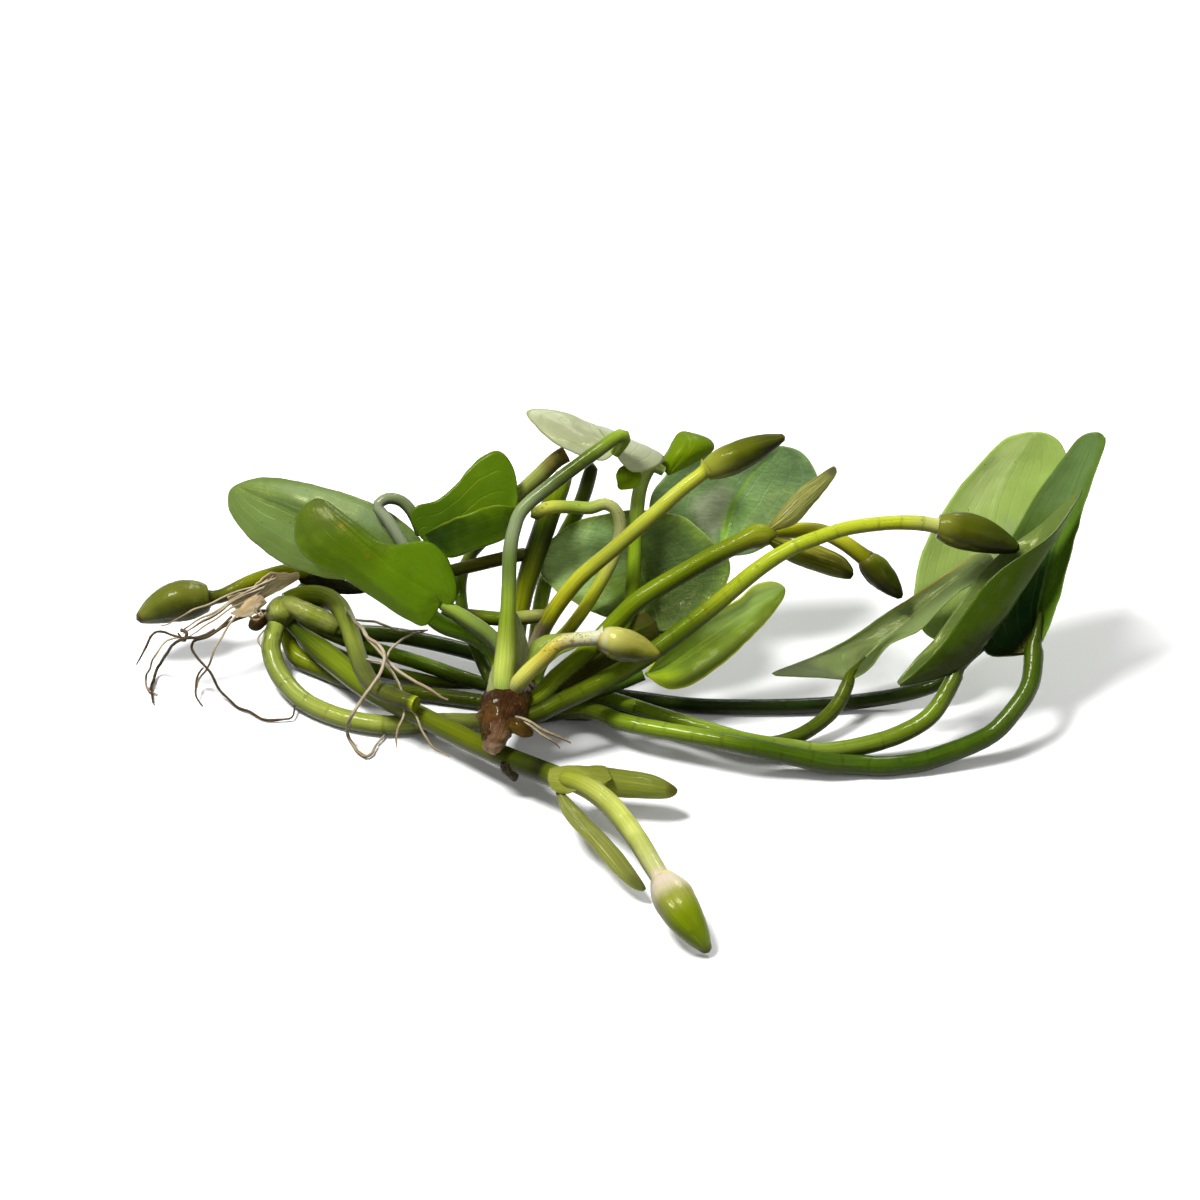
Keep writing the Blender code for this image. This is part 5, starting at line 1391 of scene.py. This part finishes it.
leaf(
    "dark_leaf_fold", [(648, 610, 15), (628, 618, 14), (600, 636, 12), (574, 654, 10), (556, 680, 7)],
    [(656, 622, 15), (632, 634, 14), (606, 652, 12), (582, 670, 9), (556, 684, 7)],
    [(664, 640, 15), (642, 656, 13), (618, 670, 11), (588, 684, 8), (560, 688, 7)], leaf_skin(
        # Its dark olive-brown is partly its own colour and partly painted shade, as it lies low behind the
        # stalks.
        "brown_leaf_fold", 0x54522C, 0x3E3A22, blotch=0.6, veins=9, vein=0x6E6C42, vein_share=0.1,
        rim=0x787042, rim_width=0.02, patches=((0.5, 0.3, 0.4, 0.3, 0x46581E, 0.5),), rough=0.45
    ), rib=0.3, wave=0.8, rows=40, thickness=0.6, node=False
)
leaf(
    "leaf_dark_glossy",
    [(625, 625, 19), (580, 605, 21), (545, 580, 25), (541, 562, 27), (552, 538, 27), (578, 521, 26)],
    [(655, 610, 23), (645, 580, 26), (632, 550, 27)], [
        (695, 625, 18), (722, 595, 19), (730, 562, 20), (712, 541, 21), (687, 519, 22), (660, 512, 23),
        (632, 510, 24)
    ], leaf_skin(
        "dark_glossy_leaf", 0x90AE50, 0x687C38, blotch=0.6, veins=11, vein=0xC2E8BC, vein_share=0.05,
        cross=0.25, rim=0xD2D888, rim_width=0.007, rib=0x90BC64, rib_share=0.3, patches=(
            # The first two patches are painted highlights: the pale sheen where the light strikes the left of
            # the leaf.
            (0.3, 0.75, 0.25, 0.25, 0xB2DA90, 0.6), (0.14, 0.6, 0.16, 0.3, 0xC6E894, 0.7),
            (0.75, 0.4, 0.25, 0.5, 0x546A46, 0.7), (0.5, 0.08, 0.5, 0.14, 0x5A683E, 0.7),
            (0.4, 0.35, 0.2, 0.2, 0x526C2A, 0.5)
        ), rough=0.26, wet=0.3, film=0.03, ripple=2.2
    ), base=(660, 632, 18), tip=(606, 514, 25), back=left_back_skin, rib=-0.4, wave=0.7
)
stem(
    "petiole_dark_glossy", deep([
        (660.8, 635.9, 19.1), (650, 655, 21), (615, 673, 20), (580, 680, 17.5), (549, 688, 16.5),
        (526, 692, 15)
    ]), [1.6, 2.0, 2.1, 2.1, 2.0, 1.7], stem_skin(
        "dark_glossy_petiole", [(0, 0x5F7832), (0.5, 0x6E7332), (1, 0x646432)], 0x82643C, specks=0.3,
        wet=0.38
    ), reach=1
)
leaf(
    "leaf_upper_right",
    [(690, 560, 31), (655, 530, 31), (650, 503, 31), (665, 475, 31), (700, 455, 31), (740, 450, 31)],
    [(726, 530, 34), (733, 505, 36), (752, 475, 36)],
    [(755, 552, 31), (793, 525, 31), (806, 509, 31), (815, 491, 31), (817, 475, 31), (804, 454, 31)],
    leaf_skin(
        "bluish_top_leaf", 0x88A86C, 0x728C56, veins=9, vein=0xCAE8C0, vein_share=0.1, rim=0xB0C274,
        rim_width=0.008, rib=0x94C03E, rib_width=0.02, patches=(
            # The second and third patches are painted highlights around the midrib; the first is the bright
            # green groove itself.
            (0.5, 0.22, 0.06, 0.24, 0xB4E860, 0.9), (0.62, 0.3, 0.12, 0.22, 0x94C06C, 0.55),
            (0.38, 0.35, 0.12, 0.2, 0xE8E8C8, 0.55), (0.85, 0.6, 0.2, 0.4, 0x5E7650, 0.6)
        ), rough=0.34, wet=0.25, film=0.02, ripple=0.9
    ), base=(722, 556, 30), tip=(782, 446, 31), back=left_back_skin, rib=-0.7
)
stem(
    "petiole_upper_right", deep([
        (721.3, 559.4, 29.4), (700, 598, 30), (665, 635, 31), (620, 658, 29), (575, 671, 25), (549, 683, 21),
        (545, 686, 20)
    ]), [1.6, 2.0, 2.1, 2.1, 2.0, 1.8, 1.7],
    stem_skin("upper_right_petiole", [(0, 0x558223), (0.5, 0x5F822D), (1, 0x506928)], 0x415F1E, wet=0.45),
    reach=1
)
leaf(
    "leaf_lower_right", [(668, 645, 9), (700, 618, 9), (736, 600, 9), (753, 586, 9), (771, 581, 9)],
    [(670, 664, 12), (705, 640, 13), (745, 612, 12)],
    [(667, 689, 9), (695, 683, 9), (736, 652, 9), (759, 629, 9), (780, 604, 9)], leaf_skin(
        "lime_leaf", 0x7C9836, 0x64762C, veins=7, vein=0xCCE864, vein_share=0.08, rim=0xE8E234,
        rim_width=0.02, rib=0xB2C634, rib_share=0.4, patches=(
            (0.3, 0.75, 0.4, 0.35, 0xA6C26C, 0.7), (0.85, 0.1, 0.3, 0.14, 0xB4CE30, 0.8),
            (0.9, 0.5, 0.14, 0.5, 0x8A9C46, 0.7), (0.1, 0.6, 0.1, 0.5, 0xD2E46C, 0.5),
            (0.6, 0.45, 0.12, 0.25, 0x4E5E2C, 0.5)
        ), specks=0.06, speck_colour=0x3C4C14, rough=0.42, wet=0.1, film=0.02
    ), base=(645, 674, 9), tip=(785, 588, 9), back=left_back_skin, rib=-0.4
)
stem(
    "petiole_lower_right",
    deep([(643.8, 674.8, 9), (610, 687, 9), (580, 696, 9.2), (550, 704, 8.5), (520, 701, 7)]),
    [1.7, 2.1, 2.1, 2.0, 1.8],
    stem_skin("lower_right_petiole", [(0, 0x4B6E23), (0.5, 0x3C5A19), (1, 0x5A732D)], 0x324614), reach=1
)


# ---- The stems at the back of the centre: a pale one cut off at a ragged brown end, and two short brown
# ones that run behind the others.
stem(
    "cut_back_stem", deep([
        (518, 697, 12), (498, 689, 16), (487, 673, 21), (475, 645, 23), (463, 612, 24), (461, 580, 27),
        (470, 556, 27), (485, 538, 24), (508, 506, 19), (535, 480, 17), (555, 461, 15), (566, 454, 15)
    ]), [1.5, 1.8, 1.9, 1.9, 1.9, 1.9, 1.9, 2.0, 2.3, 2.5, 2.5, 2.6], stem_skin(
        "cut_back_stem", [
            (0, 0x2E3E0E), (0.4, 0x5A781A), (0.7, 0xAAB654), (0.9, 0xB2BA62), (0.95, 0x827442),
            (0.97, 0x46301E), (1, 0x6E4C2E)
        ], 0x8C9846, blotch=0.2, wet=0.38, specks=0.2
    )
)
stem(
    "brown_back_stem",
    deep([(433, 575, 18), (451, 571, 20), (480, 564, 20.5), (505, 558, 20), (530, 553, 20)]),
    [1.8, 2.0, 2.1, 2.1, 2.0], stem_skin(
        "brown_back_stem", [(0, 0x647232), (0.5, 0x74722A), (1, 0x5E642C)], 0x4A4428, specks=0.3, rough=0.45,
        wet=0.26
    ), ends=(0.7, 0.7)
)
stem(
    "side_runner",
    deep([(441, 613, 20), (470, 616, 17.5), (505, 619, 14), (530, 617, 11.5), (549, 615, 9.5)]),
    [1.8, 2.2, 2.2, 2.2, 1.8], stem_skin(
        "side_runner", [(0, 0x949A3A), (0.5, 0x667C1E), (1, 0xC4C870)], 0x867432, specks=0.2, rough=0.4,
        wet=0.3
    ), ends=(0.7, 0.7)
)


# ---- The four leaves at the right, on the long petioles: a pale translucent one behind, a boat-shaped
# one in front of it, and two that stand folded, one with its olive underside to the eye.
leaf(
    "leaf_right_pale", [
        (940, 642, 22), (922, 628, 23), (914, 593, 24), (927, 541, 24), (961, 486, 24), (1000, 443, 23),
        (1018, 434, 22.5), (1036, 431.5, 22)
    ], [(970, 610, 26), (984, 545, 28), (1003, 480, 27), (1036, 432, 22)], [
        (1000, 640, 22), (1040, 590, 23), (1060, 530, 24), (1068, 480, 24), (1065, 450, 23),
        (1053, 436, 22.5), (1036, 431.5, 22)
    ], leaf_skin(
        "pale_right_leaf", 0xB4CE6E, 0xA6BA60, blotch=0.28, veins=13, vein=0xC8CEA0, vein_share=0.15,
        cross=0.25, rim=0x9AA860, rim_width=0.007, rib=0xC4CE96, rib_share=0.5,
        patches=((0.75, 0.3, 0.35, 0.3, 0x94A486, 0.7), (0.3, 0.8, 0.25, 0.3, 0xD8E89C, 0.5)), rough=0.35,
        film=0.03, specks=0.06, speck_colour=0x6E823C, sheer=0.2
    ), base=(962, 648, 22), back=left_back_skin, rib_width=0.03
)
leaf(
    "leaf_right_boat", [
        (820, 678, 15), (772, 674.5, 15), (800, 662, 17), (841, 644, 18), (887, 613, 18), (933, 582, 18),
        (966, 560, 17), (980, 553, 15.5)
    ], [(868, 655, 16), (895, 633, 17), (925, 607, 17), (960, 578, 16)], [
        (866, 672, 12), (890, 645, 10), (918, 631, 10), (937, 611, 10), (960, 591, 10), (982, 580, 11),
        (994, 568, 12.5)
    ], leaf_skin(
        "boat_leaf", 0x82945C, 0x7C8A52, blotch=0.33, veins=9, vein=0xA8BC88, vein_share=0.06, rim=0x8AA248,
        rim_width=0.014, rib=0x8AA254, rib_share=0.5, patches=(
            # The third patch is painted shadow: a dark stripe along the lower side near the petiole.
            (0.08, 0.25, 0.14, 0.3, 0x606654, 0.7), (0.06, 0.8, 0.08, 0.2, 0xA69248, 0.7),
            (0.75, 0.15, 0.35, 0.2, 0x2C321C, 0.7), (0.1, 0.5, 0.12, 0.2, 0x96A856, 0.5)
        ), rough=0.3, film=0.02
    ), base=(848, 680, 15), tip=(991, 555, 14), back=leaf_skin(
        "boat_leaf_back", 0x5F781E, 0x827D32, blotch=0.28, veins=9, vein=0x96A046, rim=0xAAA550,
        rim_width=0.021, rough=0.3, wet=0.3
    ), rib=-0.4
)
leaf(
    "leaf_right_tall", [
        (1010, 656, 10), (985, 652, 12), (975, 612, 13), (1014, 532, 13), (1043, 485, 12), (1070, 448, 10),
        (1083, 435, 8.5)
    ], [(1040, 600, 13), (1056, 540, 14), (1077, 480, 12)], [
        (1046, 635, 8), (1058, 600, 8), (1069, 560, 8), (1083, 510, 8), (1096, 470, 7), (1105, 443, 6),
        (1103, 435, 6.5)
    ], leaf_skin(
        "tall_right_leaf", 0x66823A, 0x546A2E, blotch=0.4, veins=9, vein=0x98BC6A, vein_share=0.07,
        rim=0x98AC60, rim_width=0.008, rib=0x6C8E2A, rib_share=0.3, patches=(
            # The first two patches are painted shadow: the foot of the leaf darkened where the folded leaf in
            # front shades it.
            (0.28, 0.05, 0.7, 0.4, 0x1E221E, 0.97), (0.3, 0.3, 0.4, 0.25, 0x284228, 0.8),
            (0.8, 0.3, 0.25, 0.4, 0x5A8222, 0.7), (0.4, 0.85, 0.5, 0.3, 0x7C9864, 0.5)
        ), rough=0.34, wet=0.15
    ), base=(1034, 653, 8), tip=(1096, 432, 7), back=left_back_skin, rib_width=0.03
)
leaf(
    "leaf_right_folded",
    [(930, 672, 5), (897, 685, 5), (911, 664, 6), (941, 630, 8), (987, 566, 8), (1040, 525, 6)],
    [(985, 648, 3), (1018, 600, 2), (1052, 545, 1)],
    [(932, 680, 2), (898, 687, 2), (913, 674, 0), (945, 641, -2), (990, 579, -3), (1050, 535, -2)], leaf_skin(
        "folded_right_leaf", 0x6E8244, 0x566234, blotch=0.33, veins=9, vein=0xB2B278, vein_share=0.1,
        rim=0x7E8C68, rim_width=0.01, rib=0x8E982C, rib_share=0.5,
        patches=((0.9, 0.6, 0.14, 0.5, 0x687C52, 0.5), (0.45, 0.35, 0.2, 0.4, 0x2E3428, 0.6)), rough=0.25,
        wet=0.35
    ), base=(958, 668, 4), tip=(1082, 489, 2), back=leaf_skin(
        "folded_right_leaf_back", 0x40541E, 0x323E1E, blotch=0.33, veins=9, vein=0x44581E, rim=0x546E1E,
        rim_width=0.014, patches=((0.5, 0.15, 0.6, 0.25, 0x1E221C, 0.8),), wet=0.4
    ), rib=0.6, fold=0.7
)


# ---- The roots: limp tan and dark brown strands, under 2 mm thick, with side rootlets like hair. They
# hang from the left crown, from the cut stem and from the tip of the centre crown.
tan_root_skin = stem_skin(
    "tan_roots", [(0, 0xECDCBC), (0.5, 0xDECEAE), (1, 0xC4AC88)], 0xAA9270, blotch=0.7, streak=0.28,
    specks=0.25, rough=0.55, wet=0.15
)
ROOT_STEP = 2.2 * MM
ROOT_WANDER = 0.7
ROOT_WANDER_SIZE = 6 * MM
ROOTLET_SPACING = 10 * MM
ROOTLET_STEPS = 4
ROOTLET_TAPER = 0.15
ROOTLET_DROOP = 0.3
ROOT_TIP = 0.5
ROOT_LIFT = 0.1 * MM
ROOTLET_LIFT = 0.3 * MM


def roots(name, strands, skin, rootlets, length, seed, nodes=()):
    """Limp strands that wander a little, with fine rootlets that droop from them.

    strands are (points, radius). rootlets is how many grow from every 10 mm, each about length long.
    """
    chance = random.Random(seed)
    runs = []
    for points, radius in strands:
        line = rod(points, [radius] * len(points))
        line[-1].w = radius * ROOT_TIP
        run = smooth(line, max(8, round(run_length(line) / ROOT_STEP)))
        for k, place in enumerate(run[1:-1]):
            spot = place.xyz / ROOT_WANDER_SIZE
            shift = (noise.noise(spot + Vector((seed, 7 * axis, 0))) for axis in range(3))
            run[k + 1] = place + Vector((*(share * ROOT_WANDER * MM for share in shift), 0))
        for place in run:
            place.z = max(place.z, place.w * MM + ROOT_LIFT)
        runs.append(run)
    for run in list(runs):
        for _ in range(int(run_length(run) / ROOTLET_SPACING * rootlets)):
            start = chance.choice(run[1:])
            reach = length * chance.uniform(0.4, 1.3) * MM
            heading = Vector((chance.uniform(-1, 1), chance.uniform(-0.6, 0.6), chance.uniform(-0.8, 0.4)))
            heading = heading.normalized()
            fine = start.w * chance.uniform(0.22, 0.4)
            place = start.xyz.copy()
            twig = [Vector((*place, fine))]
            for k in range(ROOTLET_STEPS):
                turn = Vector((chance.uniform(-0.5, 0.5), chance.uniform(-0.5, 0.5), -ROOTLET_DROOP))
                heading = (heading + turn).normalized()
                place = place + heading * reach / ROOTLET_STEPS
                place.z = max(place.z, ROOTLET_LIFT)
                twig.append(Vector((*place, fine * (1 - ROOTLET_TAPER * k))))
            runs.append(twig)
    piece = sweep(name, runs, skin, sides=8, lump_size=1.5, lump_depth=0.22, step=0.9 * MM)
    belongs(piece, "root", *nodes)


roots(
    "left_roots_dark", [
        (
            deep([
                (274, 612, 38), (258, 611, 35), (245, 617, 31.5), (226, 625, 28), (203, 638, 26),
                (177, 641, 25)
            ]) + lying([(158, 668, 3), (152, 690, 1.2), (153, 703, 1.2)]), 0.5
        ), (deep([(215, 629, 27), (190, 639, 26), (160, 632, 26), (145, 648, 27), (136, 665, 27)]), 0.4), (
            deep([(232, 616, 28), (212, 634, 27), (192, 645, 27), (207, 669, 26)]) + lying([
                (226, 697, 2), (263, 719, 0.9), (290, 719, 0.9)
            ]), 0.42
        ), (deep([(203, 668, 26)]) + lying([(197, 678, 6), (197, 697, 2.5), (203, 706, 0.8)]), 0.34), (
            lying([
                (263, 719, 0.9), (284, 719.5, 1.2), (292.6, 718, 1.5), (295, 704, 3), (289, 690, 5),
                (276, 682, 6), (271, 673, 7.5)
            ]), 0.3
        ), (deep([(181, 630, 26), (186, 634, 24.5), (183, 641, 26), (178, 633, 27)]), 0.6)
    ], stem_skin(
        "dark_roots", [(0, 0x96826A), (0.5, 0x705E4C), (1, 0x644C38)], 0x4A3E34, blotch=0.7, streak=0.28,
        rough=0.5, wet=0.17
    ), 0.1, 5, 3, nodes=("left_roots",)
)
roots(
    "left_roots_tan", [
        (
            deep([
                (274, 575, 33), (259, 592, 31), (245, 606, 30), (230, 624, 27), (220, 641, 25),
                (211, 660, 24)
            ]) + lying([(201, 677, 5), (197, 688, 3)]), 0.36
        ), (deep([(268, 580, 32), (240, 597, 29), (214, 612, 27), (181, 631, 25.5)]), 0.4),
        (deep([(262, 588, 31), (236, 601, 28), (210, 617, 26.5), (183, 634, 25)]), 0.34),
        (deep([(262, 592, 32), (233, 603, 28), (206, 621, 27), (187, 631, 26)]), 0.42),
        (deep([(258, 596, 31), (231, 609, 28), (208, 624, 26), (188, 637, 25)]), 0.3),
        (deep([(276, 578, 32), (246, 590, 30), (218, 600, 28), (190, 612, 27), (160, 626, 26)]), 0.34), (
            deep([(182, 637, 26), (166, 641, 25), (154.5, 658, 24)]) + lying([
                (146, 676, 4.5), (145, 686, 2), (151, 693, 0.9), (158, 694.5, 0.7)
            ]), 0.34
        ), (deep([(262, 602, 34), (252, 606, 31), (249, 614, 30), (258, 620, 30), (266, 612, 31)]), 0.4),
        (deep([(266, 596, 34), (256, 600, 31), (255, 610, 29), (263, 616, 29), (258, 604, 31)]), 0.34),
        (deep([(264, 630, 31), (258, 640, 29), (262, 650, 28)]), 0.3)
    ], tan_root_skin, 0.12, 5, 5
)
roots(
    "middle_roots_tan", [
        (
            deep([(348, 611, 26.6), (362, 630, 18), (385, 663, 4.6), (352, 715, 1.8)]) + lying([
                (349, 738, 1.8), (366, 756, 1.4), (377, 744, 1.4)
            ]), 0.55
        ), (deep([(362, 628, 18.5), (376, 648, 12), (396, 670, 7), (430, 690, 5), (448, 700, 5)]), 0.55),
        (deep([(349, 618, 27), (375, 622, 22), (400, 631, 18), (428, 630, 14)]), 0.36), (
            deep([
                (350, 624, 26), (363, 655, 17), (383, 664, 9), (405, 695, 6), (428, 741, -6), (450, 757, -9)
            ]), 0.36
        ), (deep([(385, 663, 8), (402, 690, 6), (405, 712, 2), (396, 735, -4), (397, 748, -6)]), 0.36),
        (deep([(385, 663, 8), (392, 648, 12), (410, 636, 15), (428, 630, 14)]), 0.4),
        (lying([(377, 744, 1.0), (385, 734, 1.5), (380, 722, 4)]), 0.36)
    ], tan_root_skin, 0.1, 5, 7, nodes=("middle_roots",)
)
roots(
    "center_roots_tan", [
        (deep([(505, 716, -13), (520, 718, -15), (545, 730, -16), (571, 743, -15)]), 0.5),
        (deep([(515, 722, -17), (527, 724, -17), (544, 735, -17), (560, 748, -16)]), 0.42)
    ], tan_root_skin, 0, 6, 11, nodes=("center_roots",)
)
